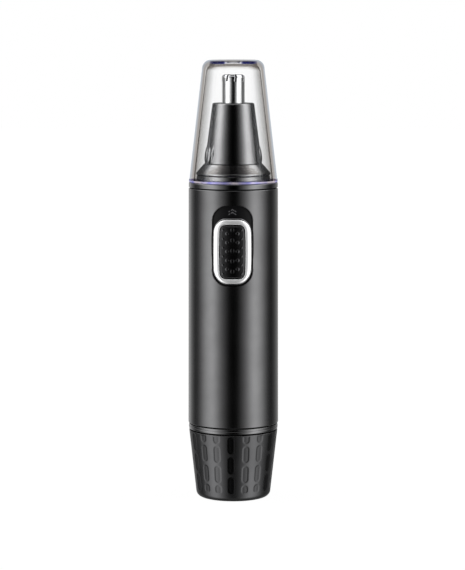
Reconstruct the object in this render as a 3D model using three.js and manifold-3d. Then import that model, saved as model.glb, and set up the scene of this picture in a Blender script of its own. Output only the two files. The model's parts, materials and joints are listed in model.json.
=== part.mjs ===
// A battery-powered nose hair trimmer, standing on its battery cap. Millimetres, +Z up.
// The origin is the centre of the flat base. The thumb switch faces -Y.
// From the base up: a twist-off battery cap, a trim ring, the handle with its cell, motor and
// switch, a neck collar, the twist-off cutter head and the clear cap that covers it.

import * as THREE from "three";
import { mergeVertices } from "three/addons/utils/BufferGeometryUtils.js";
import Module from "manifold-3d";

const wasm = await Module();
wasm.setup();

// ---------------------------------------------------------------- driving dimensions
const SEAM = 0.2; // visible gap between two outer pieces
const FIT = 0.1; // gap between two pieces that touch
const RUN = 0.15; // clearance round a turning or sliding piece
const REACH = 16; // a radius beyond every surface of the handle

const FINE = 40; // facets round the outer pieces
const MEDIUM = 24; // facets round the inner pieces
const SMALL = 16; // facets round pins, screws and shafts

// Heights of the outer pieces
const CAP_TOP_Z = 140.1;
const CONE_TOP_Z = 126.5;
const CONE_BASE_Z = 107.4;
const LIP_Z = 103.75;
const NECK_TOP_Z = 103.5;
const COLLAR_TOP_Z = 101.3;
const COLLAR_Z = 99.7;
const SHELL_TOP_Z = COLLAR_Z - SEAM;
const SHELL_Z = 24.1;
const RING_Z = 22.1;
const BATTERY_CAP_TOP_Z = RING_Z - SEAM;

// Radii of the outer pieces
const SHELL_TOP_R = 14.22;
const SHELL_BASE_R = 14.42;
const SHELL_BORE_R = 12.4;
const BATTERY_CAP_TOP_R = 14.2;
const BATTERY_CAP_BASE_R = 11.75;
const COLLAR_R = 14.18;
const NECK_R = 11.65;
const CONE_TOP_R = 6.62;
const CONE_BASE_R = 9.1;

// Cell, size AA
const CELL_R = 7.25;
const CELL_Z = 8.4;
const CELL_CAN_TOP_Z = 57.4;
const CELL_TOP_Z = 58.9;
const BULKHEAD_Z = 59.8;
const BULKHEAD_TOP_Z = 61.3;

// Motor, the small flat-sided kind
const MOTOR_R = 10.05;
const MOTOR_HALF_FLAT = 7.55;
const MOTOR_Z = 64.9;
const MOTOR_CAN_Z = 68.5;
const MOTOR_TOP_Z = 89.5;
const CRADLE_TOP_Z = 91.2;
const WEB_Z = 91.5;
const WEB_TOP_Z = 93.2;
const SHAFT_R = 1;
const SHAFT_TOP_Z = 96.2;

// Drive and cutter
const COUPLING_R = 2.8;
const COUPLING_Z = 92;
const COUPLING_TOP_Z = 102.2;
const SOCKET_FLATS = 3.3; // across the flats of the coupling's hexagon socket
const HEX_FLATS = 2.9; // across the flats of the spindle's hexagon
const SPINDLE_Z = 96.9;
const SPINDLE_R = 1.5;
const FOIL_R = 3.62;
const FOIL_WALL = 0.32;
const FOIL_TOP_Z = 135.5;
const FOIL_FLANGE_Z = 121.9;
const FOIL_SLOTS = 8;

// Twist locks
const HEAD_LUG_ARC = 25;
const HEAD_TWIST = 30;
const CAP_LUG_ARC = 20;
const CAP_TWIST = 40;
const LUG_CLEARANCE = 1; // degrees each side of a lug
const LUGS = 3;

// Thumb switch: a recess in the shell, curved plates in it, and what slides
const RECESS = { x: 6.4, low: 69.5, high: 94.6, corner: 5.2 };
const RECESS_FLOOR_R = 13.2;
const PLATE_R = [13.3, 13.7];
const SLIDER_R = [13.85, 14.5];
const BEZEL_R = [14.55, 15.4];
const PAD_R = [14.55, 15.15];
const BEZEL = { x: 6, low: 69.95, high: 90.65, corner: 4.8 };
const BEZEL_BAND = 2;
const SLIDER = { x: 6.15, low: 69.75, high: 90.95, corner: 5 };
const STEM = { x: 1.8, low: 77.2, high: 81.8 };
const SWITCH_TRAVEL = 3.5;

// ---------------------------------------------------------------- materials
const paint = (color, roughness, metalness = 0) =>
  new THREE.MeshStandardMaterial({ color, roughness, metalness });

const MATERIAL = {
  satinBlack: paint(0x2a2a2b, 0.38, 0.2),
  glossBlack: paint(0x121213, 0.16),
  gripBlack: paint(0x232324, 0.5),
  clear: new THREE.MeshStandardMaterial({
    color: 0xf2f5f8,
    roughness: 0.05,
    transparent: true,
    opacity: 0.3,
  }),
  chrome: paint(0xe6e6e8, 0.12, 1),
  steel: paint(0xb9babc, 0.22, 1),
  nickel: paint(0xc4beb2, 0.3, 1),
  brass: paint(0xb8923f, 0.3, 1),
  copper: paint(0xb0653a, 0.35, 1),
  magnet: paint(0x3b3b3f, 0.75),
  board: paint(0x2f5b3c, 0.6),
  rubber: paint(0x151515, 0.85),
  whitePlastic: paint(0xdedede, 0.45),
  greyPlastic: paint(0x515356, 0.55),
  cellWrap: paint(0x2c4a7a, 0.3),
};

// ---------------------------------------------------------------- solids
// A closed geometry as a manifold solid, turned right side out if it was inside out.
function solidOf(geometry) {
  const bare = geometry.index ? geometry.toNonIndexed() : geometry.clone();
  bare.deleteAttribute("normal");
  bare.deleteAttribute("uv");
  const merged = mergeVertices(bare, 1e-4);
  const corners = Array.from(merged.index.array);
  const make = (triVerts) =>
    new wasm.Manifold(
      new wasm.Mesh({
        numProp: 3,
        vertProperties: merged.attributes.position.array,
        triVerts: new Uint32Array(triVerts),
      }),
    );
  const solid = make(withoutSlivers(corners));
  if (solid.volume() > 0) return solid;
  return make(withoutSlivers(corners).reverse());
}

// The triangles that have three different corners.
function withoutSlivers(corners) {
  const kept = [];
  for (let i = 0; i < corners.length; i += 3) {
    const [a, b, c] = corners.slice(i, i + 3);
    if (a !== b && b !== c && c !== a) kept.push(a, b, c);
  }
  return kept;
}

function meshOf(name, solid, material) {
  const made = solid.getMesh();
  const geometry = new THREE.BufferGeometry();
  geometry.setAttribute("position", new THREE.BufferAttribute(made.vertProperties, 3));
  geometry.setIndex(new THREE.BufferAttribute(made.triVerts, 1));
  geometry.computeVertexNormals();
  const mesh = new THREE.Mesh(geometry, material);
  mesh.name = name;
  return mesh;
}

// A solid of revolution about Z from [radius, height] points round a closed outline.
function turned(outline, facets = MEDIUM) {
  const points = outline.map(([r, z]) => new THREE.Vector2(r, z));
  const closed = outline[0][0] > 0 || outline[outline.length - 1][0] > 0;
  if (closed) points.push(points[0].clone());
  return solidOf(new THREE.LatheGeometry(points, facets).rotateX(Math.PI / 2));
}

const cylinder = (radius, low, high, facets = MEDIUM) =>
  turned([[0, low], [radius, low], [radius, high], [0, high]], facets);

const tube = (inner, outer, low, high, facets = MEDIUM) =>
  turned([[inner, low], [outer, low], [outer, high], [inner, high]], facets);

function block(x, y, z) {
  const box = new THREE.BoxGeometry(x[1] - x[0], y[1] - y[0], z[1] - z[0]);
  return solidOf(box.translate((x[0] + x[1]) / 2, (y[0] + y[1]) / 2, (z[0] + z[1]) / 2));
}

// A flat outline in X and Y, extruded from one height to another.
function prism(shape, low, high, curveSegments = 6) {
  const options = { depth: high - low, bevelEnabled: false, curveSegments };
  return solidOf(new THREE.ExtrudeGeometry(shape, options).translate(0, 0, low));
}

const joined = (solids) => solids.reduce((all, next) => all.add(next));

const about = (solid, degrees) => solid.rotate([0, 0, degrees]);

// The same solid repeated evenly round the axis.
const ringOf = (solid, count) =>
  Array.from({ length: count }, (_, i) => about(solid, (i * 360) / count));

// Points along a quarter-round corner, from one angle to another, in degrees.
function roundCorner(r, z, radius, from, to, steps = 4) {
  return Array.from({ length: steps + 1 }, (_, i) => {
    const angle = THREE.MathUtils.degToRad(from + ((to - from) * i) / steps);
    return [r + radius * Math.cos(angle), z + radius * Math.sin(angle)];
  });
}

// A wedge of a tube between two angles, measured from +X, in degrees.
function arcBlock(inner, outer, low, high, from, to) {
  const [a, b] = [from, to].map(THREE.MathUtils.degToRad);
  const shape = new THREE.Shape();
  shape.absarc(0, 0, outer, a, b, false);
  shape.absarc(0, 0, inner, b, a, true);
  return prism(shape, low, high, Math.max(3, Math.round((to - from) / 7.5)));
}

function torus(radius, section, z) {
  const outline = roundCorner(radius, z, section, 0, 300, 5);
  return turned(outline, MEDIUM);
}

function hexagon(flats, low, high) {
  const corner = flats / 2 / Math.cos(Math.PI / 6);
  return cylinder(corner, low, high, 6);
}

// A helical wire spring: section radius, coil radius at the foot and at the top.
function coilSpring(wire, footR, topR, low, high, turns) {
  const steps = Math.round(turns * 10);
  const points = Array.from({ length: steps + 1 }, (_, i) => {
    const share = i / steps;
    const angle = share * turns * 2 * Math.PI;
    const r = footR + (topR - footR) * share;
    return new THREE.Vector3(
      r * Math.cos(angle),
      r * Math.sin(angle),
      low + wire + (high - low - 2 * wire) * share,
    );
  });
  const section = new THREE.Shape();
  section.absarc(0, 0, wire, 0, 2 * Math.PI, false);
  const geometry = new THREE.ExtrudeGeometry(section, {
    extrudePath: new THREE.CatmullRomCurve3(points),
    steps,
    curveSegments: 6,
    bevelEnabled: false,
  });
  return solidOf(geometry);
}

// ---------------------------------------------------------------- curved switch plates
// An upright outline with rounded corners and slightly bowed sides, inset all round.
function switchOutline({ x, low, high, corner }, inset = 0) {
  const [w, a, b] = [x - inset, low + inset, high - inset];
  const c = Math.max(0.4, corner - inset);
  const bow = 0.25; // how far the middle of each long side stands out
  const shape = new THREE.Shape();
  shape.moveTo(-w + bow + c, a);
  shape.lineTo(w - bow - c, a);
  shape.quadraticCurveTo(w - bow, a, w - bow, a + c);
  shape.quadraticCurveTo(w + bow, (a + b) / 2, w - bow, b - c);
  shape.quadraticCurveTo(w - bow, b, w - bow - c, b);
  shape.lineTo(-w + bow + c, b);
  shape.quadraticCurveTo(-w + bow, b, -w + bow, b - c);
  shape.quadraticCurveTo(-w - bow, (a + b) / 2, -w + bow, a + c);
  shape.quadraticCurveTo(-w + bow, a, -w + bow + c, a);
  return shape;
}

// What lies between two radii inside an upright outline on the -Y side.
function curvedPlate(shape, inner, outer) {
  const reach = 20;
  const upright = prism(shape, 8, reach, 5).rotate([90, 0, 0]);
  return tube(inner, outer, 60, 100, 2 * FINE).intersect(upright);
}

const switchSlot = () =>
  block(
    [-STEM.x - RUN, STEM.x + RUN],
    [-REACH, -11],
    [STEM.low - 0.5, STEM.high + SWITCH_TRAVEL + 0.5],
  );

// ---------------------------------------------------------------- battery cap
function batteryCap() {
  const [wall, floor, corner] = [1.55, 1.6, 2.2];
  const lean = (BATTERY_CAP_TOP_R - BATTERY_CAP_BASE_R) / BATTERY_CAP_TOP_Z;
  const sideR = (z) => BATTERY_CAP_BASE_R + lean * z;
  const outline = [
    [0, 0],
    ...roundCorner(sideR(corner) - corner, corner, corner, -90, 0),
    [sideR(BATTERY_CAP_TOP_Z - 0.3), BATTERY_CAP_TOP_Z - 0.3],
    [BATTERY_CAP_TOP_R - 0.3, BATTERY_CAP_TOP_Z],
    [BATTERY_CAP_TOP_R - wall, BATTERY_CAP_TOP_Z],
    [sideR(floor + 1) - wall, floor + 1],
    [sideR(floor) - wall - 1, floor],
    [0, floor],
  ];
  return meshOf("battery_cap", turned(outline, FINE), MATERIAL.gripBlack);
}

const LINER = { low: 1.7, top: 30, inner: 7.7, outer: 8.9, lugR: 10.1, lugZ: [27.5, 29.5] };

function capLiner() {
  const { low, top, inner, outer, lugR, lugZ } = LINER;
  const body = turned([
    [0, low], [outer, low], [outer, 19.8], [12.35, 19.8], [12.35, 21.2], [outer, 21.2],
    [outer, top], [inner, top], [inner, low + 1.5], [0, low + 1.5],
  ]);
  const lug = arcBlock(outer - 0.4, lugR, ...lugZ, -CAP_LUG_ARC / 2, CAP_LUG_ARC / 2);
  const stripSlot = block([-1.8, 1.8], [7, 8.3], [low + 1.5, top + 1]);
  const solid = joined([body, ...ringOf(lug, LUGS)]).subtract(stripSlot);
  return meshOf("cap_liner", solid, MATERIAL.greyPlastic);
}

const capSealRing = () => meshOf("cap_seal_ring", torus(9.55, 0.55, 24.6), MATERIAL.rubber);

function capContact() {
  const thin = 0.3;
  const floor = LINER.low + 1.6;
  const solid = joined([
    cylinder(6.5, floor, floor + thin),
    block([-1.4, 1.4], [5.5, 7.85], [floor, floor + thin]),
    block([-1.4, 1.4], [7.55, 7.85], [floor, LINER.top + FIT + thin]),
    tube(7.7, 8.8, LINER.top + FIT, LINER.top + FIT + thin),
  ]);
  return meshOf("cap_contact", solid, MATERIAL.nickel);
}

const cellSpring = () =>
  meshOf("cell_spring", coilSpring(0.4, 4.8, 3, 3.7, CELL_Z - FIT, 3.5), MATERIAL.nickel);

// ---------------------------------------------------------------- cell
function cellCan() {
  const r = CELL_R - 0.25;
  const outline = [
    [0, CELL_Z], [5.2, CELL_Z], [5.5, CELL_Z + 0.3], [r - 0.4, CELL_Z + 0.3], [r, CELL_Z + 0.7],
    [r, CELL_CAN_TOP_Z - 0.6], [r - 0.6, CELL_CAN_TOP_Z], [0, CELL_CAN_TOP_Z],
  ];
  return meshOf("cell_can", turned(outline), MATERIAL.steel);
}

const cellSleeve = () =>
  meshOf(
    "cell_sleeve",
    tube(CELL_R - 0.2, CELL_R, CELL_Z + 0.7, CELL_CAN_TOP_Z - 0.6),
    MATERIAL.cellWrap,
  );

const cellWasher = () =>
  meshOf("cell_washer", tube(3, 6, CELL_CAN_TOP_Z + 0.05, CELL_CAN_TOP_Z + 0.35), MATERIAL.whitePlastic);

function cellNub() {
  const low = CELL_CAN_TOP_Z + 0.05;
  const outline = [[0, low], [2.7, low], [2.7, CELL_TOP_Z - 0.3], [2.4, CELL_TOP_Z], [0, CELL_TOP_Z]];
  return meshOf("cell_nub", turned(outline, SMALL), MATERIAL.nickel);
}

// ---------------------------------------------------------------- handle
function handleShell() {
  const edge = 0.25;
  const body = turned([
    [SHELL_BORE_R, SHELL_Z], [SHELL_BASE_R - edge, SHELL_Z], [SHELL_BASE_R, SHELL_Z + edge],
    [SHELL_TOP_R, SHELL_TOP_Z - edge], [SHELL_TOP_R - edge, SHELL_TOP_Z], [SHELL_BORE_R, SHELL_TOP_Z],
  ], FINE);
  const recess = curvedPlate(switchOutline(RECESS), RECESS_FLOOR_R, REACH);
  return meshOf("handle_shell", body.subtract(recess).subtract(switchSlot()), MATERIAL.satinBlack);
}

const BASE_RING = { bore: 12.25, r: 14.22, top: SHELL_Z - SEAM };

function baseRing() {
  const { bore, r, top } = BASE_RING;
  const middle = (RING_Z + top) / 2;
  const outline = [
    [bore, RING_Z], [r - 0.25, RING_Z], [r, RING_Z + 0.25], [r, middle - 0.25], [r - 0.2, middle],
    [r, middle + 0.25], [r, top - 0.25], [r - 0.25, top], [bore, top],
  ];
  return meshOf("base_ring", turned(outline, FINE), MATERIAL.glossBlack);
}

// The lug pockets are open towards the cap, so the cap can turn and pull off.
function batteryTube() {
  const outerR = 12.1;
  const [bore, wide, stepZ, tubeR] = [9.1, 10.3, 27, 9];
  const body = turned([
    [wide, RING_Z], [outerR, RING_Z], [outerR, 33], [tubeR, 33], [tubeR, BULKHEAD_Z],
    [outerR, BULKHEAD_Z], [outerR, BULKHEAD_TOP_Z], [0, BULKHEAD_TOP_Z], [0, BULKHEAD_Z],
    [LINER.inner, BULKHEAD_Z], [LINER.inner, 31], [bore, 31], [bore, stepZ], [wide, stepZ],
  ]);
  const half = CAP_LUG_ARC / 2 + LUG_CLEARANCE;
  const pocket = arcBlock(8.5, wide + FIT, stepZ - 1, 30.9, -half - CAP_TWIST, half);
  const cuts = [
    ...ringOf(pocket, LUGS),
    block([-1.9, 1.9], [7.4, 13], [30.5, 33.1]),
    block([-1.9, 1.9], [8.9, 10.1], [BULKHEAD_Z - 1, BULKHEAD_TOP_Z + 1]),
    block([-3.5, -1.9], [-7.3, -6.3], [BULKHEAD_Z - 1, BULKHEAD_TOP_Z + 1]),
  ];
  const solid = cuts.reduce((left, cut) => left.subtract(cut), body);
  return meshOf("battery_tube", solid, MATERIAL.greyPlastic);
}

function negativeStrip() {
  const solid = joined([
    block([-1.5, 1.5], [8, 9.7], [30.6, 30.9]),
    block([-1.5, 1.5], [9.35, 9.7], [30.6, 63.8]),
    block([-1.5, 1.5], [4.6, 9.7], [63.4, 63.8]),
  ]);
  return meshOf("negative_strip", solid, MATERIAL.nickel);
}

function positiveContact() {
  const side = [-3.2, -2.2];
  const front = [-9.3, -8.95];
  const solid = joined([
    cylinder(4.5, 59.2, 59.6),
    block(side, [-7, -2], [59.2, 59.6]),
    block(side, [-7, -6.6], [59.2, 61.9]),
    block(side, [front[0], -6.6], [61.5, 61.9]),
    block(side, front, [61.5, 80.5]),
    block([side[0], 1], front, [77.5, 80.5]),
  ]);
  return meshOf("positive_contact", solid, MATERIAL.nickel);
}

function motorFeedStrip() {
  const side = [2.2, 3.2];
  const front = [-9.3, -8.95];
  const solid = joined([
    block([-1, side[1]], front, [82, 90]),
    block(side, front, [63.4, 82.5]),
    block(side, [front[0], -4.8], [63.4, 63.8]),
  ]);
  return meshOf("motor_feed_strip", solid, MATERIAL.nickel);
}

const switchBoard = () =>
  meshOf("switch_board", block([-4, 4], [-8.85, -7.95], [66, 91.3]), MATERIAL.board);

// ---------------------------------------------------------------- motor, the part that stays still
// A round outline with two flat sides, hollow or not, extruded from one height to another.
function flatSided(r, halfFlat, low, high) {
  return cylinder(r, low, high).intersect(block([-r, r], [-halfFlat, halfFlat], [low - 1, high + 1]));
}

function motorCan() {
  const wall = 0.7;
  const hollow = flatSided(MOTOR_R - wall, MOTOR_HALF_FLAT - wall, MOTOR_CAN_Z - 1, MOTOR_TOP_Z - 0.8);
  const hole = cylinder(1.65, MOTOR_TOP_Z - 2, MOTOR_TOP_Z + 1, SMALL);
  const body = flatSided(MOTOR_R, MOTOR_HALF_FLAT, MOTOR_CAN_Z, MOTOR_TOP_Z);
  return meshOf("motor_can", body.subtract(hollow).subtract(hole), MATERIAL.steel);
}

function motorEndBell() {
  const body = flatSided(MOTOR_R, MOTOR_HALF_FLAT, MOTOR_Z, MOTOR_CAN_Z - FIT);
  const hole = cylinder(SHAFT_R + RUN, MOTOR_Z - 1, MOTOR_CAN_Z + 1, SMALL);
  return meshOf("motor_end_bell", body.subtract(hole), MATERIAL.whitePlastic);
}

function motorMagnet(side) {
  const arc = arcBlock(6.6, 9.25, MOTOR_CAN_Z + 1.5, MOTOR_TOP_Z - 3, -46, 46);
  const name = side > 0 ? "motor_magnet_right" : "motor_magnet_left";
  return meshOf(name, about(arc, side > 0 ? 0 : 180), MATERIAL.magnet);
}

function motorBush() {
  const outline = [
    [SHAFT_R + 0.1, MOTOR_TOP_Z - 0.7], [1.55, MOTOR_TOP_Z - 0.7], [1.55, MOTOR_TOP_Z + FIT],
    [2.6, MOTOR_TOP_Z + FIT], [2.6, MOTOR_TOP_Z + 1], [SHAFT_R + 0.1, MOTOR_TOP_Z + 1],
  ];
  return meshOf("motor_bush", turned(outline, SMALL), MATERIAL.brass);
}

const motorBrush = (side) =>
  meshOf(
    side > 0 ? "motor_brush_right" : "motor_brush_left",
    block(side > 0 ? [2.5, 2.8] : [-2.8, -2.5], [-0.8, 0.8], [MOTOR_CAN_Z + 0.1, MOTOR_CAN_Z + 2.6]),
    MATERIAL.copper,
  );

const motorTerminal = (name, x, y) => meshOf(name, block(x, y, [63.95, 64.8]), MATERIAL.nickel);

// Each half holds one round side of the motor, with a plate above and below it.
function motorCradle(side) {
  const [low, high, r] = [62.1, CRADLE_TOP_Z, 12.2];
  const half = block([0.1, 13], [-7.5, 7.5], [low - 1, high + 1]);
  const wall = tube(MOTOR_R + 0.35, r, low, high, MEDIUM);
  const plates = [cylinder(r, low, low + 1), cylinder(r, high - 1.3, high)];
  const holes = [
    cylinder(3.2, low - 1, high + 1, SMALL),
    cylinder(0.95, high - 2, high + 1, 12).translate([NECK_SCREW_X, 0, 0]),
  ];
  const solid = holes.reduce((left, hole) => left.subtract(hole), joined([wall, ...plates]).intersect(half));
  const name = side > 0 ? "motor_cradle_right" : "motor_cradle_left";
  return meshOf(name, about(solid, side > 0 ? 0 : 180), MATERIAL.greyPlastic);
}

// ---------------------------------------------------------------- neck
const NECK_SCREW_X = 6.4;
const SOCKET_R = 9.5;
const TOWER = { inner: 3.4, outer: 4.6, top: 100.4 };

// The collar, the step that the clear cap grips, and the socket that takes the cutter head.
function neckCollar() {
  const plugR = SHELL_BORE_R - 0.15;
  const body = turned([
    [TOWER.inner, WEB_Z], [plugR, WEB_Z], [plugR, COLLAR_Z], [COLLAR_R - 0.2, COLLAR_Z],
    [COLLAR_R, COLLAR_Z + 0.2], [COLLAR_R, COLLAR_TOP_Z - 0.2], [COLLAR_R - 0.2, COLLAR_TOP_Z],
    [12.45, COLLAR_TOP_Z], [12.45, 101.7], [NECK_R, 101.8], [NECK_R, NECK_TOP_Z],
    [10.55, NECK_TOP_Z], [10.55, 102.4], [SOCKET_R, 102.4], [SOCKET_R, WEB_TOP_Z],
    [TOWER.outer, WEB_TOP_Z], [TOWER.outer, TOWER.top], [TOWER.inner, TOWER.top],
  ], FINE);
  const half = HEAD_LUG_ARC / 2 + LUG_CLEARANCE;
  const pocket = arcBlock(8.5, 10.5, 97.5, 102.6, -half, half + HEAD_TWIST);
  const screwHole = (x) => cylinder(1, WEB_Z - 1, WEB_TOP_Z + 1, 12).translate([x, 0, 0]);
  const cuts = [...ringOf(pocket, LUGS), screwHole(NECK_SCREW_X), screwHole(-NECK_SCREW_X)];
  const solid = cuts.reduce((left, cut) => left.subtract(cut), body);
  return meshOf("neck_collar", solid, MATERIAL.glossBlack);
}

const shaftSeal = () =>
  meshOf("shaft_seal", tube(2.98, 4.5, TOWER.top + FIT, TOWER.top + 0.8, MEDIUM), MATERIAL.rubber);

function neckScrew(side) {
  const top = WEB_TOP_Z + FIT;
  const body = joined([cylinder(0.8, MOTOR_TOP_Z + 0.6, top + 0.2, 12), cylinder(1.5, top, top + 1, 18)]);
  const slots = [
    block([-1, 1], [-0.2, 0.2], [top + 0.5, top + 2]),
    block([-0.2, 0.2], [-1, 1], [top + 0.5, top + 2]),
  ];
  const solid = slots.reduce((left, slot) => left.subtract(slot), body);
  const mesh = meshOf(side > 0 ? "neck_screw_right" : "neck_screw_left", solid, MATERIAL.steel);
  mesh.position.x = side * NECK_SCREW_X;
  return mesh;
}

// ---------------------------------------------------------------- switch
function switchEscutcheon() {
  const plate = curvedPlate(switchOutline(RECESS, 0.15), ...PLATE_R);
  return meshOf("switch_escutcheon", plate.subtract(switchSlot()), MATERIAL.glossBlack);
}

function switchSlider() {
  const plate = curvedPlate(switchOutline(SLIDER), ...SLIDER_R);
  const stem = block([-STEM.x, STEM.x], [-14.1, -12], [STEM.low, STEM.high]);
  return meshOf("switch_slider", plate.add(stem), MATERIAL.glossBlack);
}

function switchBezel() {
  const outer = curvedPlate(switchOutline(BEZEL), ...BEZEL_R);
  const inner = curvedPlate(switchOutline(BEZEL, BEZEL_BAND), 12, 18);
  return meshOf("switch_bezel", outer.subtract(inner), MATERIAL.chrome);
}

const switchPad = () =>
  meshOf(
    "switch_pad",
    curvedPlate(switchOutline(BEZEL, BEZEL_BAND + 0.15), ...PAD_R),
    MATERIAL.gripBlack,
  );

const switchCarrier = () =>
  meshOf("switch_carrier", block([-3.2, 3.2], [-11.8, -10.5], [74.5, 84.5]), MATERIAL.whitePlastic);

function switchWiper() {
  const [back, tip, thin] = [-10.4, -9.4, 0.25];
  const solid = joined([
    block([-0.9, 0.9], [back, back + thin], [75, 84]),
    block([-0.9, 0.9], [back, tip], [75, 75 + thin]),
    block([-0.9, 0.9], [back, tip], [84 - thin, 84]),
  ]);
  return meshOf("switch_wiper", solid, MATERIAL.brass);
}

// ---------------------------------------------------------------- rotor
const motorShaft = () => meshOf("motor_shaft", cylinder(SHAFT_R, 64.2, SHAFT_TOP_Z, SMALL), MATERIAL.steel);

const POLES = 3;
const CORE = { low: 72, high: 82, r: 6.3, hub: 2.6, arm: 1 };

// A laminated core with three T-shaped poles.
function armatureCore() {
  const { low, high, r, hub, arm } = CORE;
  const shoe = arcBlock(r - 1.1, r, low, high, -45, 45);
  const pole = shoe.add(block([1.5, r - 0.5], [-arm, arm], [low, high]));
  const body = joined([cylinder(hub, low, high, SMALL), ...ringOf(pole, POLES)]);
  const bore = cylinder(SHAFT_R + 0.05, low - 1, high + 1, SMALL);
  return meshOf("armature_core", body.subtract(bore), MATERIAL.magnet);
}

// One coil of wire round each pole's arm.
function armatureWinding(index) {
  const { low, high, r, hub, arm } = CORE;
  const x = [hub + 0.2, r - 1.9];
  const gap = 0.15;
  const coil = block(x, [-arm - 0.75, arm + 0.75], [low - 0.9, high + 0.9]);
  const core = block([0, r], [-arm - gap, arm + gap], [low - gap, high + gap]);
  const solid = about(coil.subtract(core), (index * 360) / POLES);
  return meshOf("armature_winding_" + (index + 1), solid, MATERIAL.copper);
}

function commutator() {
  const body = tube(SHAFT_R + 0.05, 2.3, 68.6, 71, SMALL);
  const slot = block([1.5, 3], [-0.15, 0.15], [67, 71.5]);
  const solid = ringOf(slot, POLES).reduce((left, cut) => left.subtract(cut), body);
  return meshOf("commutator", solid, MATERIAL.copper);
}

function driveCoupling() {
  const body = turned([
    [SHAFT_R + 0.05, COUPLING_Z], [COUPLING_R, COUPLING_Z], [COUPLING_R, COUPLING_TOP_Z - 0.4],
    [COUPLING_R - 0.4, COUPLING_TOP_Z], [SHAFT_R + 0.05, COUPLING_TOP_Z],
  ], SMALL);
  const socket = hexagon(SOCKET_FLATS, SHAFT_TOP_Z + 0.2, COUPLING_TOP_Z + 1);
  return meshOf("drive_coupling", body.subtract(socket), MATERIAL.whitePlastic);
}

// ---------------------------------------------------------------- cutter head
// It sits in the neck's groove and lifts with the head, but doesn't turn with it.
const headSeal = () => meshOf("head_seal", torus(9.95, 0.45, 102.95), MATERIAL.rubber);

const coneR = (z) => {
  const share = (z - CONE_BASE_Z) / (CONE_TOP_Z - CONE_BASE_Z);
  return CONE_BASE_R + (CONE_TOP_R - CONE_BASE_R) * share;
};

const GRIP_RIBS = { count: 5, step: 13, middle: 105, low: 107.9, high: 112.9, proud: 0.35 };

// One finger rib: a slim lens standing on the cone, at the given angle from +X.
function gripRib(angle) {
  const { low, high, proud } = GRIP_RIBS;
  const middle = (low + high) / 2;
  const ball = new THREE.SphereGeometry(1, 10, 8);
  ball.scale(0.5 + proud, 0.62, (high - low) / 2);
  ball.rotateY(-Math.atan2(CONE_BASE_R - CONE_TOP_R, CONE_TOP_Z - CONE_BASE_Z));
  ball.translate(coneR(middle) - 0.5, 0, middle);
  return about(solidOf(ball), angle);
}

function noseCone() {
  const wall = 1.35;
  const webZ = 122.6;
  const body = turned([
    [CONE_BASE_R - wall, CONE_BASE_Z], [CONE_BASE_R, CONE_BASE_Z],
    ...roundCorner(CONE_TOP_R - 0.6, CONE_TOP_Z - 0.6, 0.6, 0, 90, 3),
    [FOIL_R + FIT, CONE_TOP_Z], [FOIL_R + FIT, webZ], [coneR(webZ) - wall, webZ],
  ], 40);
  const { count, step, middle } = GRIP_RIBS;
  const angles = Array.from({ length: count }, (_, i) => (i - (count - 1) / 2) * step);
  const ribs = angles.flatMap((a) => [gripRib(middle + 90 + a), gripRib(middle - 90 + a)]);
  return meshOf("nose_cone", joined([body, ...ribs]), MATERIAL.satinBlack);
}

const SKIRT = { inner: 8.2, outer: 9.2, low: 98.3, lugR: 10.3, lugTop: 100 };

function headFlange() {
  const { inner, outer, low, lugR, lugTop } = SKIRT;
  const top = CONE_BASE_Z - FIT;
  const body = turned([
    [inner, low], [outer, low], [outer, LIP_Z], [11.7, LIP_Z], [11.85, LIP_Z + 0.15],
    [11.85, LIP_Z + 0.7], [11.6, LIP_Z + 0.9], [CONE_BASE_R, top], [inner, top],
  ], 40);
  const lug = arcBlock(outer - 0.4, lugR, low, lugTop, -HEAD_LUG_ARC / 2, HEAD_LUG_ARC / 2);
  return meshOf("head_flange", joined([body, ...ringOf(lug, LUGS)]), MATERIAL.satinBlack);
}

// A slotted steel cap: each slot runs from near the middle of the top and down the side.
function outerFoil() {
  const inner = FOIL_R - FOIL_WALL;
  const body = turned([
    [inner, FOIL_FLANGE_Z], [4.7, FOIL_FLANGE_Z], [4.7, FOIL_FLANGE_Z + 0.6],
    [FOIL_R, FOIL_FLANGE_Z + 0.6],
    ...roundCorner(FOIL_R - 0.95, FOIL_TOP_Z - 0.95, 0.95, 0, 90, 3),
    [0, FOIL_TOP_Z], [0, FOIL_TOP_Z - FOIL_WALL],
    ...roundCorner(FOIL_R - 0.95, FOIL_TOP_Z - 0.95, 0.95 - FOIL_WALL, 90, 0, 3),
  ]);
  const slot = block([0.9, 5], [-0.18, 0.18], [FOIL_TOP_Z - 2.1, FOIL_TOP_Z + 1]);
  const firstSlot = -79; // degrees from +X, so that one slot is just right of the front
  const cuts = ringOf(about(slot, firstSlot), FOIL_SLOTS);
  return meshOf("outer_foil", cuts.reduce((left, cut) => left.subtract(cut), body), MATERIAL.steel);
}

const foilRetainer = () =>
  meshOf("foil_retainer", tube(3, 5.8, 119.9, FOIL_FLANGE_Z - FIT), MATERIAL.whitePlastic);

// The insert that centres the spindle: a hub and an outer wall joined by a web at the top.
function spindleHousing() {
  const [low, web, top] = [104.8, 117, 119.3];
  const [bore, bushBore, hub] = [SPINDLE_R + RUN, 2.65, 3.5];
  const outerR = (z) => coneR(z) - 1.5;
  const solid = turned([
    [bore, low], [hub, low], [hub, web], [outerR(web) - 1.2, web], [outerR(CONE_BASE_Z) - 1.2, low],
    [outerR(CONE_BASE_Z), low], [outerR(CONE_BASE_Z), CONE_BASE_Z], [outerR(top), top],
    [bushBore, top], [bushBore, 116.4], [bore, 116.4],
  ]);
  return meshOf("spindle_housing", solid, MATERIAL.greyPlastic);
}

const spindleBushing = () =>
  meshOf("spindle_bushing", tube(SPINDLE_R + 0.1, 2.55, 116.5, 119.7, SMALL), MATERIAL.brass);

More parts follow.
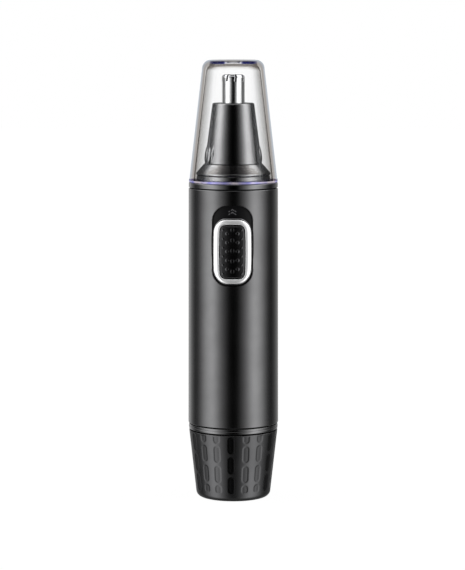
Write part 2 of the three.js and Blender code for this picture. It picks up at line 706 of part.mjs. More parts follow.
// ---------------------------------------------------------------- cutter blade
function bladeSpindle() {
  const solid = hexagon(HEX_FLATS, SPINDLE_Z, 102.7).add(cylinder(SPINDLE_R, 102.6, 127.8, SMALL));
  return meshOf("blade_spindle", solid, MATERIAL.steel);
}

function spindleClip() {
  const ring = tube(SPINDLE_R + 0.05, 2.5, 104.1, 104.5, SMALL);
  const mouth = block([-1, 1], [0.5, 4], [103, 105]);
  return meshOf("spindle_clip", ring.subtract(mouth), MATERIAL.steel);
}

const bladeSpring = () =>
  meshOf("blade_spring", coilSpring(0.22, 2.05, 2.05, 119.9, 123.3, 3), MATERIAL.nickel);

// A hub on the spindle carries two crossed blades that run just under the foil.
function innerBlade() {
  const [low, hubTop, top, r, thin] = [123.5, 128.4, FOIL_TOP_Z - FOIL_WALL - 0.15, 3.08, 0.22];
  const hub = cylinder(2.5, low, hubTop, SMALL);
  const bore = cylinder(SPINDLE_R + 0.08, low - 1, 127.95, SMALL);
  const corner = 0.75; // the blades' top corners follow the foil's rounded edge
  const profile = new THREE.Shape();
  profile.moveTo(-r, low + 2);
  profile.lineTo(r, low + 2);
  profile.lineTo(r, top - corner);
  profile.lineTo(r - corner, top);
  profile.lineTo(-r + corner, top);
  profile.lineTo(-r, top - corner);
  const vane = prism(profile, -thin, thin).rotate([90, 0, 0]);
  return meshOf("inner_blade", joined([hub, vane, about(vane, 90)]).subtract(bore), MATERIAL.steel);
}

// ---------------------------------------------------------------- clear cap
function clearCap() {
  const [rimZ, beadTop, wall, corner] = [COLLAR_TOP_Z + FIT, 102.3, 1.35, 3];
  const [beadR, sideR, sideZ, shoulderR, shoulderZ] = [14.15, 13.95, 102.5, 9.95, 136.9];
  const [innerTopZ, innerCorner] = [CAP_TOP_Z - 1.4, 2.4];
  const lean = 6.6; // degrees that the side leans in
  const outline = [
    [sideR - wall, rimZ], [beadR, rimZ], [beadR, beadTop], [sideR, sideZ],
    ...roundCorner(shoulderR - corner, shoulderZ + 0.1, corner, lean, 90, 6),
    [0, CAP_TOP_Z], [0, innerTopZ],
    ...roundCorner(shoulderR - wall - innerCorner + 0.1, innerTopZ - innerCorner, innerCorner, 90, lean, 5),
  ];
  return meshOf("clear_cap", turned(outline, FINE), MATERIAL.clear);
}

// ---------------------------------------------------------------- assembly
function assembly(meshes) {
  const group = new THREE.Group();
  group.add(...meshes);
  return group;
}

const batteryCapGroup = assembly([batteryCap(), capLiner(), capSealRing(), capContact(), cellSpring()]);

const cellGroup = assembly([cellCan(), cellSleeve(), cellWasher(), cellNub()]);

const motorGroup = assembly([
  motorCan(),
  motorEndBell(),
  motorMagnet(1),
  motorMagnet(-1),
  motorBush(),
  motorBrush(1),
  motorBrush(-1),
  motorTerminal("motor_terminal_positive", [2.2, 3.2], [-5.6, -4.8]),
  motorTerminal("motor_terminal_negative", [-1, 1], [4.7, 5.5]),
  motorCradle(1),
  motorCradle(-1),
]);

const handleGroup = assembly([
  handleShell(),
  baseRing(),
  batteryTube(),
  negativeStrip(),
  positiveContact(),
  motorFeedStrip(),
  switchBoard(),
  switchEscutcheon(),
  neckCollar(),
  shaftSeal(),
  neckScrew(1),
  neckScrew(-1),
  motorGroup,
]);

const switchGroup = assembly([switchSlider(), switchBezel(), switchPad(), switchCarrier(), switchWiper()]);

const rotorGroup = assembly([
  motorShaft(),
  armatureCore(),
  ...Array.from({ length: POLES }, (_, i) => armatureWinding(i)),
  commutator(),
  driveCoupling(),
]);

const cutterHeadGroup = assembly([
  noseCone(),
  headFlange(),
  outerFoil(),
  foilRetainer(),
  spindleHousing(),
  spindleBushing(),
]);

const cutterBladeGroup = assembly([bladeSpindle(), spindleClip(), bladeSpring(), innerBlade()]);

const trimmer = assembly([
  batteryCapGroup,
  cellGroup,
  handleGroup,
  switchGroup,
  rotorGroup,
  headSeal(),
  cutterHeadGroup,
  cutterBladeGroup,
  clearCap(),
]);

export default trimmer;
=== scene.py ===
"""The looks of a nose hair trimmer.

Lengths below are in millimetres, and angles in degrees, measured from the front (-Y) towards +X.
"""

import json
import math

import bmesh
import bpy
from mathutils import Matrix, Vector


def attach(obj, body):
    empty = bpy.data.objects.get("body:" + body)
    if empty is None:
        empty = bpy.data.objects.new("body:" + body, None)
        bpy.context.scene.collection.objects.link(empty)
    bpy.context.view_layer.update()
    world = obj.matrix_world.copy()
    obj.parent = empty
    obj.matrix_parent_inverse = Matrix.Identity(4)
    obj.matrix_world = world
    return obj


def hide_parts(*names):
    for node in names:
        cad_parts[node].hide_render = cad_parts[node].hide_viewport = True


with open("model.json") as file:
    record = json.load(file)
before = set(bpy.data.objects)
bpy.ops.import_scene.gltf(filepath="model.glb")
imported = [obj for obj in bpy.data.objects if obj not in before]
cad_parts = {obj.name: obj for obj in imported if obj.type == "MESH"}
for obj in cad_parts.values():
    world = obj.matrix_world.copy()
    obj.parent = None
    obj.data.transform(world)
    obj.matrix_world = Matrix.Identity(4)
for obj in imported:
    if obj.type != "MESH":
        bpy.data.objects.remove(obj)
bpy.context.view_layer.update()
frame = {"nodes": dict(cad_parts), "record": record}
MM = 0.001
FINISH = {}  # every material, by its name


# ---------------------------------------------------------------- node helpers
def rgb(colour):
    """A colour given as three numbers, or as one for a grey."""
    return colour if isinstance(colour, tuple) else (colour,) * 3


class Nodes:
    """A new material's node tree, with short ways to add what the finishes below share."""

    def __init__(self, name):
        FINISH[name] = self.material = bpy.data.materials.new(name)
        self.material.use_nodes = True
        self.tree = self.material.node_tree
        self.shader = self.tree.nodes["Principled BSDF"]
        self.place = self.tree.nodes.new("ShaderNodeTexCoord").outputs["Object"]

    def add(self, kind, **values):
        node = self.tree.nodes.new("ShaderNode" + kind)
        for key, value in values.items():
            setattr(node, key, value)
        return node

    def link(self, source, target):
        self.tree.links.new(source, target)

    def math(self, operation, a, b=None):
        node = self.add("Math", operation=operation)
        for socket, value in zip(node.inputs, (a, b)):
            if value is None:
                continue
            if isinstance(value, (int, float)):
                socket.default_value = value
            else:
                self.link(value, socket)
        return node.outputs[0]

    def noise(self, scale, detail=4.0, roughness=0.55, stretch=(1, 1, 1)):
        """Noise with that many cells to a metre."""
        mapping = self.add("Mapping")
        mapping.inputs["Scale"].default_value = stretch
        self.link(self.place, mapping.inputs["Vector"])
        node = self.add("TexNoise")
        node.inputs["Scale"].default_value = scale
        node.inputs["Detail"].default_value = detail
        node.inputs["Roughness"].default_value = roughness
        self.link(mapping.outputs[0], node.inputs["Vector"])
        return node.outputs["Fac"]

    def spread(self, value, low, high, start=0.3, end=0.7):
        """value, from start to end, mapped to low to high."""
        node = self.add("MapRange")
        for key, number in (("From Min", start), ("From Max", end), ("To Min", low), ("To Max", high)):
            node.inputs[key].default_value = number
        self.link(value, node.inputs["Value"])
        return node.outputs["Result"]

    def mix(self, share, a, b):
        node = self.add("Mix", data_type="RGBA")
        self.link(share, node.inputs["Factor"])
        for socket, value in zip((node.inputs[6], node.inputs[7]), (a, b)):
            if isinstance(value, tuple):
                socket.default_value = (*value, 1)
            else:
                self.link(value, socket)
        return node.outputs[2]

    def bump(self, height, distance, strength=1.0, under=None):
        node = self.add("Bump")
        node.inputs["Distance"].default_value = distance * MM
        node.inputs["Strength"].default_value = strength
        self.link(height, node.inputs["Height"])
        if under is not None:
            self.link(under, node.inputs["Normal"])
        return node.outputs["Normal"]

    def edges(self):
        """1 on the convex edges and 0 elsewhere."""
        return self.spread(self.add("NewGeometry").outputs["Pointiness"], 0, 1, 0.53, 0.62)

    def height(self):
        """The height above the table."""
        split = self.add("SeparateXYZ")
        self.link(self.place, split.inputs[0])
        return split.outputs["Z"]

    def recess_shade(self):
        """The share that each vertex has of the hollow it lies in: it sets how much painted shade darkens it and
        how much polish smooths it.
        """
        return self.add("Attribute", attribute_name="recess_shade").outputs["Fac"]


def finish(
    name,
    colour,
    roughness,
    metal=0.0,
    grain=(2200, 0.004),
    vary=0.25,
    smudge=0.06,
    wear=0.0,
    brushed=None,
    level=0.5,
    recess_shade=0.0,
    polish=0.0,
    rim=None,
):
    """A moulded or metal finish.

    The colour varies softly. grain is fine bumps of (cells to a metre, depth). smudge changes the gloss here and
    there. wear polishes the edges. brushed is (cells to a metre, stretch, depth). level is how much a plastic
    mirrors. Painted shade darkens the hollows that a mesh marks, by the share given for it, and polish makes them
    smoother. rim dims what a metal mirrors edge on.
    """
    n = Nodes(name)
    dark = tuple(c * (1 - vary) for c in colour)
    light = tuple(min(1.0, c * (1 + vary)) for c in colour)
    cloud = n.noise(130, 5)
    fine = n.noise(grain[0], 3, 0.6)
    base = n.mix(n.spread(cloud, 0, 1), dark, light)
    if wear:
        worn = tuple(min(1.0, c * 1.9 + 0.012) for c in colour)
        edge = n.math("MULTIPLY", n.edges(), n.spread(n.noise(420, 4), 0, wear))
        base = n.mix(edge, base, worn)
    # painted shade: the hollows that the mesh marks get a darker colour
    if recess_shade:
        painted_shade = tuple(c * (1 - recess_shade) for c in colour)
        base = n.mix(n.recess_shade(), base, painted_shade)
    n.link(base, n.shader.inputs["Base Color"])
    n.shader.inputs["Metallic"].default_value = metal
    n.shader.inputs["Specular IOR Level"].default_value = level
    if rim is not None:
        n.shader.inputs["Specular Tint"].default_value = (rim, rim, rim, 1)
    wiped = n.noise(70, 6, 0.6, (1, 1, 0.35))
    rough = n.spread(wiped, max(0.02, roughness - smudge), roughness + smudge)
    if polish:
        rough = n.math("SUBTRACT", rough, n.math("MULTIPLY", n.recess_shade(), polish))
    n.link(rough, n.shader.inputs["Roughness"])
    normal = n.bump(fine, grain[1])
    if brushed:
        lines = n.noise(brushed[0], 2, 0.5, brushed[1])
        normal = n.bump(lines, brushed[2], under=normal)
    n.link(normal, n.shader.inputs["Normal"])


def clear_plastic(name, steps, gloss, least=0.0, sheen=(0.9, 0.92, 0.95), glint=None, metal=1.0, crown=None):
    """Polished clear plastic.

    steps is what passes through one face, by the share that it is turned away: (share, colour); its greys, browns
    and blues are painted shade and tint, for the dark lines and coloured edges that light bent through the walls
    shows. It mirrors the share gloss of what clear plastic would, and no less than least, in a colour between
    sheen and glint. crown is (low, high, steps) for a thick top: its steps take over between those heights.
    """
    n = Nodes(name)
    facing = n.add("LayerWeight")
    facing.inputs["Blend"].default_value = 0.5

    def ramp(tones):
        node = n.add("ValToRGB")
        stops = node.color_ramp.elements
        while len(stops) < len(tones):
            stops.new(0.5)
        for stop, (share, colour) in zip(stops, tones):
            stop.position = share
            stop.color = (*rgb(colour), 1)
        n.link(facing.outputs["Facing"], node.inputs[0])
        return node.outputs[0]

    passed = ramp(steps)
    if crown:
        low, high, crown_steps = crown
        passed = n.mix(n.spread(n.height(), 0, 1, low * MM, high * MM), passed, ramp(crown_steps))
    wiped = n.noise(90, 6, 0.6, (1, 1, 0.3))
    through = n.add("BsdfTransparent")
    n.link(n.mix(n.spread(wiped, 0, 0.025), passed, (0.8, 0.82, 0.85)), through.inputs["Color"])
    patches = n.spread(n.noise(110, 2), 0, 1, 0.42, 0.58)
    n.link(n.mix(patches, sheen, glint or tuple(0.9 * c for c in sheen)), n.shader.inputs["Base Color"])
    n.shader.inputs["Metallic"].default_value = metal
    n.link(n.spread(wiped, 0.03, 0.07, 0.35, 0.75), n.shader.inputs["Roughness"])
    flow = n.noise(28, 2, 0.4, (1, 1, 0.4))
    n.link(n.bump(flow, 0.004, 0.4), n.shader.inputs["Normal"])
    shine = n.add("Fresnel")
    shine.inputs["IOR"].default_value = 1.5
    mix = n.add("MixShader")
    n.link(n.math("ADD", n.math("MULTIPLY", shine.outputs[0], gloss), least), mix.inputs[0])
    n.link(through.outputs[0], mix.inputs[1])
    n.link(n.shader.outputs[0], mix.inputs[2])
    n.link(mix.outputs[0], n.tree.nodes["Material Output"].inputs["Surface"])


# metals and plastics: name, colour, roughness, how metallic
finish("satin_black", (0.12, 0.12, 0.122), 0.2, 1.0, grain=(3200, 0.002), vary=0.08, smudge=0.02, wear=0.25)
finish("gloss_black", (0.14, 0.14, 0.142), 0.12, 1.0, grain=(900, 0.0005), vary=0.08, smudge=0.02, wear=0.2)
# the finger recesses of the battery cap get painted shade
finish(
    "grip_black", (0.082, 0.082, 0.084), 0.31, 1.0, grain=(2600, 0.005), vary=0.1, smudge=0.03, wear=0.2,
    recess_shade=0.4, polish=0.16, rim=0.6,
)
finish("pad_black", (0.065, 0.065, 0.067), 0.22, 1.0, grain=(3000, 0.004), vary=0.1, wear=0.3)
finish("chrome", (0.95, 0.95, 0.955), 0.25, 0.6, grain=(700, 0.0004), vary=0.03, smudge=0.03)
finish(
    "steel", (0.7, 0.705, 0.71), 0.14, 1.0, grain=(1500, 0.0006), vary=0.06, smudge=0.05,
    brushed=(900, (1, 1, 9), 0.0006),
)
finish("nickel", (0.6, 0.57, 0.5), 0.27, 1.0, grain=(1500, 0.001), vary=0.08)
finish("brass", (0.6, 0.42, 0.15), 0.28, 1.0, grain=(1200, 0.001), vary=0.12)
finish("copper", (0.56, 0.22, 0.09), 0.3, 1.0, grain=(1200, 0.001), vary=0.15, brushed=(1500, (1, 1, 3), 0.03))
finish("magnet", (0.05, 0.05, 0.055), 0.7, grain=(1800, 0.01), vary=0.3, wear=0.5)
finish("board", (0.03, 0.12, 0.05), 0.4, grain=(900, 0.003), vary=0.2)
finish("rubber", (0.012, 0.012, 0.012), 0.6, grain=(2500, 0.006), vary=0.3)
finish("white_plastic", (0.62, 0.61, 0.58), 0.38, grain=(2000, 0.003), vary=0.05, wear=0.1)
finish("grey_plastic", (0.05, 0.052, 0.056), 0.42, grain=(2200, 0.005), vary=0.2, wear=0.3)
finish("cell_body", (0.55, 0.55, 0.55), 0.3, 1.0, grain=(1400, 0.001), vary=0.08)

# the clear cap: its outside, its inside, its rim, and the parts of the recess under its top; their dark edges,
# lines and bands are painted shade, and the blue of the rim and of the step is a painted tint of split light
clear_plastic(
    "clear",
    [
        (0.0, 1), (0.4, 0.99), (0.47, 0.95), (0.52, (0.8, 0.795, 0.785)), (0.56, (0.63, 0.61, 0.59)),
        (0.63, (0.62, 0.6, 0.585)), (0.7, (0.68, 0.68, 0.685)), (0.8, (0.71, 0.735, 0.765)),
        (1.0, (0.77, 0.81, 0.86)),
    ],
    0.08,
    crown=(136.8, 138.0, [
        (0.0, 1), (0.26, 0.98), (0.34, 0.8), (0.42, (0.67, 0.65, 0.63)), (0.6, (0.62, 0.61, 0.61)),
        (0.8, (0.67, 0.7, 0.73)), (1.0, (0.75, 0.79, 0.84)),
    ]),
)
clear_plastic(
    "clear_inside",
    [
        (0.0, 1), (0.18, 0.985), (0.3, 0.94), (0.43, 0.85), (0.52, (0.765, 0.765, 0.76)),
        (0.6, (0.715, 0.71, 0.705)), (0.72, (0.66, 0.65, 0.64)), (0.8, (0.5, 0.485, 0.47)),
        (0.88, (0.35, 0.33, 0.31)), (1.0, (0.26, 0.23, 0.21)),
    ],
    0.04,
    crown=(136.9, 138.2, [
        (0.0, 0.98), (0.05, 0.93), (0.15, (0.88, 0.875, 0.87)), (0.25, (0.79, 0.775, 0.76)),
        (0.33, (0.7, 0.68, 0.66)), (0.45, (0.53, 0.505, 0.48)), (0.6, (0.42, 0.39, 0.365)),
        (1.0, (0.34, 0.305, 0.28)),
    ]),
)
# painted light: the rim's blue-violet tint and its blue and pink sheen stand in for light split in the bead
clear_plastic(
    "clear_rim",
    [(0.0, (0.7, 0.7, 0.9)), (0.5, (0.5, 0.5, 0.85)), (1.0, (0.3, 0.3, 0.75))],
    0.3, 0.7, (0.2, 0.21, 0.75), (0.95, 0.85, 0.93), 0.35,
)
# painted shade with a dark blue tint: the arcs along the step under the top
clear_plastic(
    "clear_step",
    [
        (0.0, (0.97, 0.97, 0.98)), (0.05, (0.9, 0.9, 0.95)), (0.09, (0.12, 0.13, 0.36)),
        (0.45, (0.14, 0.15, 0.42)), (0.62, (0.5, 0.5, 0.68)), (0.85, (0.9, 0.9, 0.93)),
    ],
    0.04,
)
clear_plastic(
    "clear_shade",
    [(0.0, (0.48, 0.46, 0.445)), (0.5, (0.46, 0.44, 0.42)), (0.75, (0.52, 0.5, 0.48)), (0.95, (0.8, 0.79, 0.78))],
    0.04,
)
clear_plastic(
    "clear_flat",
    [
        (0.0, 1), (0.4, 0.98), (0.6, 0.9), (0.8, (0.68, 0.67, 0.67)), (0.9, (0.52, 0.51, 0.5)),
        (1.0, (0.45, 0.44, 0.43)),
    ],
    0.06,
)
clear_plastic(
    "clear_gate",
    [
        (0.0, (0.72, 0.72, 0.73)), (0.2, (0.6, 0.6, 0.62)), (0.42, (0.2, 0.2, 0.26)), (0.55, (0.9, 0.9, 0.93)),
        (1.0, 1),
    ],
    0.04,
)


def cell_wrap():
    """A dark blue sleeve with a pale grey band at the positive end."""
    band_low = 44
    n = Nodes("cell_wrap")
    band = n.math("GREATER_THAN", n.height(), band_low * MM)
    speck = n.spread(n.noise(600, 4), 0, 1)
    body = n.mix(speck, (0.022, 0.06, 0.17), (0.035, 0.09, 0.24))
    bright = n.mix(speck, (0.5, 0.51, 0.5), (0.6, 0.61, 0.6))
    n.link(n.mix(band, body, bright), n.shader.inputs["Base Color"])
    n.link(n.spread(n.noise(200, 5), 0.18, 0.32), n.shader.inputs["Roughness"])
    n.link(n.bump(n.noise(300, 3), 0.01), n.shader.inputs["Normal"])


cell_wrap()
finish("recess_black", (0.006, 0.006, 0.0065), 0.3, grain=(900, 0.0006), smudge=0.03, level=0.1)
finish(
    "cone_black", (0.24, 0.24, 0.243), 0.15, 1.0, grain=(1600, 0.0008), vary=0.06, smudge=0.02, wear=0.2,
    rim=0.25,
)
# painted shade: the inner blade's steel is darkened, for the shade inside the cutter tube
finish("painted_shade_steel", (0.1, 0.1, 0.105), 0.35, 1.0, grain=(1500, 0.001), vary=0.2, brushed=(900, (1, 1, 9), 0.001))
# painted shadow: a dull near-black for faces in the gaps between parts and inside the cutter tube
finish("painted_gap_shadow", (0.003, 0.003, 0.003), 0.6, grain=(2000, 0.004), level=0.05)
finish("print_grey", (0.1, 0.1, 0.105), 0.45, grain=(2500, 0.003), vary=0.15)


# ---------------------------------------------------------------- mesh helpers
ON_AXIS = 1e-6


def on_round(radius, angle, z):
    """The point at that radius and height, angle degrees from the front."""
    a = math.radians(angle)
    return (radius * math.sin(a), -radius * math.cos(a), z)


def piece(name, verts, faces, slot, body, nodes=(), sharp=35.0, look=None):
    """A finished piece: a mesh in millimetres that rides on a body and stands for CAD nodes."""
    mesh = bpy.data.meshes.new(name)
    mesh.from_pydata([[c * MM for c in v] for v in verts], [], faces)
    bm = bmesh.new()
    bm.from_mesh(mesh)
    bmesh.ops.remove_doubles(bm, verts=bm.verts[:], dist=1e-7)
    bmesh.ops.recalc_face_normals(bm, faces=bm.faces[:])
    bm.to_mesh(mesh)
    bm.free()
    mesh.shade_smooth()
    mesh.set_sharp_from_angle(angle=math.radians(sharp))
    mesh.materials.append(FINISH[look or slot])
    obj = bpy.data.objects.new(name, mesh)
    bpy.context.scene.collection.objects.link(obj)
    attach(obj, body)
    if nodes:
        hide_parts(*nodes)
    return obj


def lattice(rows, columns, point, wrap_rows=False, wrap_columns=True, keep=None):
    """Vertices and quads of a grid: point(row, column) places each vertex."""
    verts = [point(i, j) for i in range(rows) for j in range(columns)]
    faces = []
    for i in range(rows if wrap_rows else rows - 1):
        for j in range(columns if wrap_columns else columns - 1):
            if keep and not keep(i, j):
                continue
            k, m = (i + 1) % rows, (j + 1) % columns
            faces.append((i * columns + j, i * columns + m, k * columns + m, k * columns + j))
    return verts, faces


def without_repeats(faces):
    """The faces with corners that fall on one point taken out."""
    kept = []
    for face in faces:
        corners = [c for k, c in enumerate(face) if c != face[k - 1]]
        if len(corners) > 2:
            kept.append(tuple(corners))
    return kept


def spun(profile, angles):
    """Vertices and faces of profile(angle), a list of (radius, height), carried round the axis.

    A profile that starts off the axis closes on itself.
    """
    outlines = [profile(a) for a in angles]
    count, width = len(outlines[0]), len(angles)

    def point(i, j):
        radius, z = outlines[j][i]
        return on_round(radius, angles[j], z)

    closed = outlines[0][0][0] > ON_AXIS
    verts, faces = lattice(count, width, point, closed)
    # the vertices of a row that lies on the axis are all its first one
    axis = {i: i * width for i in range(count) if outlines[0][i][0] < ON_AXIS}
    same = [axis.get(v // width, v) for v in range(len(verts))]
    return verts, without_repeats([tuple(same[c] for c in f) for f in faces])


def even(count, start=-180.0, end=180.0):
    return [start + (end - start) * i / count for i in range(count)]


def rounded(points, steps=5):
    """An outline of (radius, height) or (radius, height, fillet) with its fillets drawn in.

    The outline is closed, or runs from axis to axis. Each fillet is held by a point just before and after it, so
    that the sides beside it shade straight.
    """
    hold_reach, least_hold = 0.05, 0.004
    flat = [Vector(p[:2]) for p in points]

    def sides(i):
        a = flat[i - 1] - flat[i]
        b = flat[(i + 1) % len(flat)] - flat[i]
        return a, b, a.angle(b) / 2

    def cut(i):
        """How much of each side the fillet at that corner takes."""
        i %= len(points)
        return points[i][2] / math.tan(sides(i)[2]) if len(points[i]) > 2 else 0.0

    out = []
    for i, p in enumerate(points):
        if len(p) < 3:
            out.append(p)
            continue
        a, b, half = sides(i)
        spare = [side.length - cut(i) - cut(other) for side, other in ((a, i - 1), (b, i + 1))]
        a, b = a.normalized(), b.normalized()
        centre = flat[i] + (a + b).normalized() * (p[2] / math.sin(half))
        first, last = flat[i] + a * cut(i), flat[i] + b * cut(i)
        turn = (first - centre).angle_signed(last - centre)
        hold = [min(hold_reach, max(0.0, room) / 3) for room in spare]
        if hold[0] > least_hold:
            out.append(tuple(first + a * hold[0]))
        for k in range(steps + 1):
            t = -turn * k / steps
            c, s = math.cos(t), math.sin(t)
            x, y = first - centre
            out.append((centre.x + c * x - s * y, centre.y + s * x + c * y))
        if hold[1] > least_hold:
            out.append(tuple(last + b * hold[1]))
    return out


def turned(name, points, slot, body, nodes=(), facets=128, steps=5):
    """A piece turned from one outline."""
    outline = rounded(points, steps)
    verts, faces = spun(lambda a: outline, even(facets))
    return piece(name, verts, faces, slot, body, nodes or (name,))


def ring(name, radius, section, z, slot, body):
    """An O-ring."""
    turns = [k * math.tau / 16 for k in range(16)]
    outline = [(radius + section * math.cos(t), z + section * math.sin(t)) for t in turns]
    verts, faces = spun(lambda a: outline, even(128))
    piece(name, verts, faces, slot, body, (name,), 180)


def smooth(value, start, end):
    """0 before start, 1 after end and a soft step between."""
    t = min(1.0, max(0.0, (value - start) / (end - start)))
    return t * t * (3 - 2 * t)


def lerp(a, b, t):
    return a + (b - a) * t


def stepped(low, high, step):
    """Heights from low to high, about step apart."""
    count = max(1, round((high - low) / step))
    return [low + (high - low) * i / count for i in range(count + 1)]


def near(angle, centre):
    """angle - centre, from -180 to 180."""
    return (angle - centre + 180) % 360 - 180


# ---------------------------------------------------------------- battery cap
CAP_TOP, CAP_BASE_R, CAP_TOP_R, CAP_CORNER = 21.9, 11.75, 14.2, 2.0
GRIP_FIRST, GRIP_STEP, GRIP_WIDTH, GRIP_CORNER, GRIP_DEPTH = -1.6, 20.0, 1.0, 0.6, 0.09
# From the edge of a recess outwards and inwards, how far its slope reaches.
GRIP_SLOPE_OUT, GRIP_SLOPE_IN = -0.25, 0.3
# Each recess is (low, high, flat end): a flat end is cut straight instead of rounded.
GRIPS_LONG = ((2.8, 8.2, None), (9.3, 14.75, None), (15.9, 21.3, None))
GRIPS_SHORT = ((3.0, 5.4, "low"), (6.3, 11.7, None), (12.9, 18.2, None), (19.15, 21.4, "high"))


def cap_radius(z):
    return lerp(CAP_BASE_R, CAP_TOP_R, z / CAP_TOP)


def grip_depth(angle, z):
    """How deep the finger recesses are there."""
    column = round(near(angle, GRIP_FIRST) / GRIP_STEP)
    across = cap_radius(z) * math.radians(near(angle, GRIP_FIRST + GRIP_STEP * column))
    nearest = math.inf
    for low, high, flat in GRIPS_LONG if column % 3 == 0 else GRIPS_SHORT:
        foot = low - GRIP_WIDTH if flat == "low" else low
        head = high + GRIP_WIDTH if flat == "high" else high
        middle = min(max(z, foot + GRIP_WIDTH), head - GRIP_WIDTH)
        distance = math.hypot(across, z - middle) - GRIP_WIDTH
        beside = max(0.0, abs(across) - GRIP_WIDTH + GRIP_CORNER)
        corner = math.hypot(beside, max(0.0, low + GRIP_CORNER - z)) - GRIP_CORNER
        nearest = min(nearest, max(distance, corner, z - high))
    return GRIP_DEPTH * smooth(-nearest, GRIP_SLOPE_OUT, GRIP_SLOPE_IN)


def battery_cap():
    body = stepped(CAP_CORNER, CAP_TOP - 0.35, 0.16)
    corner = rounded([(0, 0), (cap_radius(0), 0, CAP_CORNER), (cap_radius(8), 8)], 8)[1:-1]

    def profile(angle):
        under = [(0, 0.35), (3.2, 0.35), (3.5, 0.02), (7.2, 0), (7.5, 0.12), (7.8, 0), (9, 0)]
        side = [(cap_radius(z) - grip_depth(angle, z), z) for z in body[1:]]
        lip = [(CAP_TOP_R - 0.03, CAP_TOP - 0.22), (CAP_TOP_R - 0.11, CAP_TOP - 0.14)]
        lip.append((CAP_TOP_R - 1.5, CAP_TOP - 0.14))
        inside = [(CAP_TOP_R - 1.6, CAP_TOP - 0.24), (cap_radius(2.6) - 1.55, 2.6)]
        inside += [(cap_radius(1.6) - 2.5, 1.6), (0, 1.6)]
        return under + corner + side + lip + inside

    verts, faces = spun(profile, even(468))
    obj = piece("battery_cap_grip", verts, faces, "grip_black", "battery_cap", ["battery_cap"], 50)
    # the mask of the painted shade in the finger recesses, which also sets where they are smoother
    painted_shade = obj.data.attributes.new("recess_shade", "FLOAT", "POINT")
    for vertex, value in zip(obj.data.vertices, painted_shade.data):
        x, y, z = vertex.co / MM
        if CAP_CORNER < z < CAP_TOP - 0.3 and math.hypot(x, y) > cap_radius(z) - 1:
            # painted shade: a recess is painted darkest where its slope meets its floor
            share = grip_depth(math.degrees(math.atan2(x, -y)), z) / GRIP_DEPTH
            value.value = 0.6 * share + 1.5 * share * (1 - share)


LUGS = 3


def spun_lugs(outline, lug, arc, centre, facets=96):
    """The outline carried round, with the points that lug names pushed out to another radius over three arcs."""

    def profile(angle):
        out = abs(near(angle * LUGS, centre * LUGS)) / LUGS <= arc / 2
        return [(lug[i] if out and i in lug else r, z) for i, (r, z) in enumerate(outline)]

    # even angles, and a pair at each arc's two ends
    ends = [centre + 360 / LUGS * k + side * arc / 2 for k in range(LUGS) for side in (-1, 1)]
    pairs = [near(end + d, 0) for end in ends for d in (-0.02, 0.02)]
    return spun(profile, sorted({round(a, 3) for a in even(facets) + pairs}))


def cap_inner_parts():
    outline = [
        (0, 1.7), (8.9, 1.7), (8.9, 19.8), (12.35, 19.8), (12.35, 21.2), (8.9, 21.2), (8.9, 27.5),
        (8.92, 27.5), (8.92, 29.5), (8.9, 29.5), (8.9, 29.7), (8.7, 30), (7.8, 30), (7.7, 29.9),
        (7.7, 3.2), (0, 3.2),
    ]
    verts, faces = spun_lugs(outline, {7: 10.1, 8: 10.1}, 20, 90)
    piece("cap_liner_cup", verts, faces, "grey_plastic", "battery_cap", ["cap_liner"])
    ring("cap_seal_ring", 9.55, 0.55, 24.6, "rubber", "battery_cap")


# ---------------------------------------------------------------- cell
def cell():
    can = [
        (0, 8.4), (5.2, 8.4, 0.1), (5.5, 8.7), (6.6, 8.7), (7, 9.1, 0.3), (7, 56.8, 0.4), (6.4, 57.4),
        (0, 57.4),
    ]
    turned("cell_can", can, "cell_body", "battery")
    sleeve = [(7.05, 9.1), (7.25, 9.1, 0.08), (7.25, 56.8, 0.08), (7.05, 56.8)]
    turned("cell_sleeve", sleeve, "cell_wrap", "battery")
    turned("cell_washer", [(3, 57.45), (6, 57.45), (6, 57.75), (3, 57.75)], "white_plastic", "battery")
    turned("cell_nub", [(0, 57.45), (2.7, 57.45), (2.7, 58.9, 0.4), (0, 58.9)], "nickel", "battery", facets=48)


# ---------------------------------------------------------------- handle
SHELL_LOW, SHELL_HIGH, SHELL_BORE = 24.14, 99.44, 12.4
SHELL_LOW_R, SHELL_HIGH_R = 14.42, 14.22
RECESS = {"half": 6.15, "bow": 0.25, "low": 69.5, "high": 94.6, "corner": 4.6}
RECESS_R = 13.2
BEZEL = {"half": 5.75, "bow": 0.25, "low": 70.22, "high": 90.4, "corner": 4.05, "foot": 4.55}
BEZEL_INSIDE = {"half": 4.0, "bow": 0.2, "low": 71.7, "high": 88.86, "corner": 1.95}
SLIDER = {"half": 5.9, "bow": 0.25, "low": 69.8, "high": 90.92, "corner": 4.4, "foot": 4.75}


def shell_radius(z):
    return lerp(SHELL_LOW_R, SHELL_HIGH_R, (z - SHELL_LOW) / (SHELL_HIGH - SHELL_LOW))


def outside(shape, x, z):
    """How far a point of the front lies outside an upright outline with rounded corners and bowed sides.

    It is negative inside. The outline's lower corners may have a radius of their own, its foot.
    """
    middle = (shape["low"] + shape["high"]) / 2
    corner = shape.get("foot", shape["corner"]) if z < middle else shape["corner"]
    tall = (shape["high"] - shape["low"]) / 2
    up = (z - middle) / tall
    half = shape["half"] + shape["bow"] * (1 - min(1.0, up * up))
    qx = abs(x) - half + corner
    qz = abs(z - middle) - tall + corner
    return math.hypot(max(qx, 0), max(qz, 0)) + min(max(qx, qz), 0) - corner


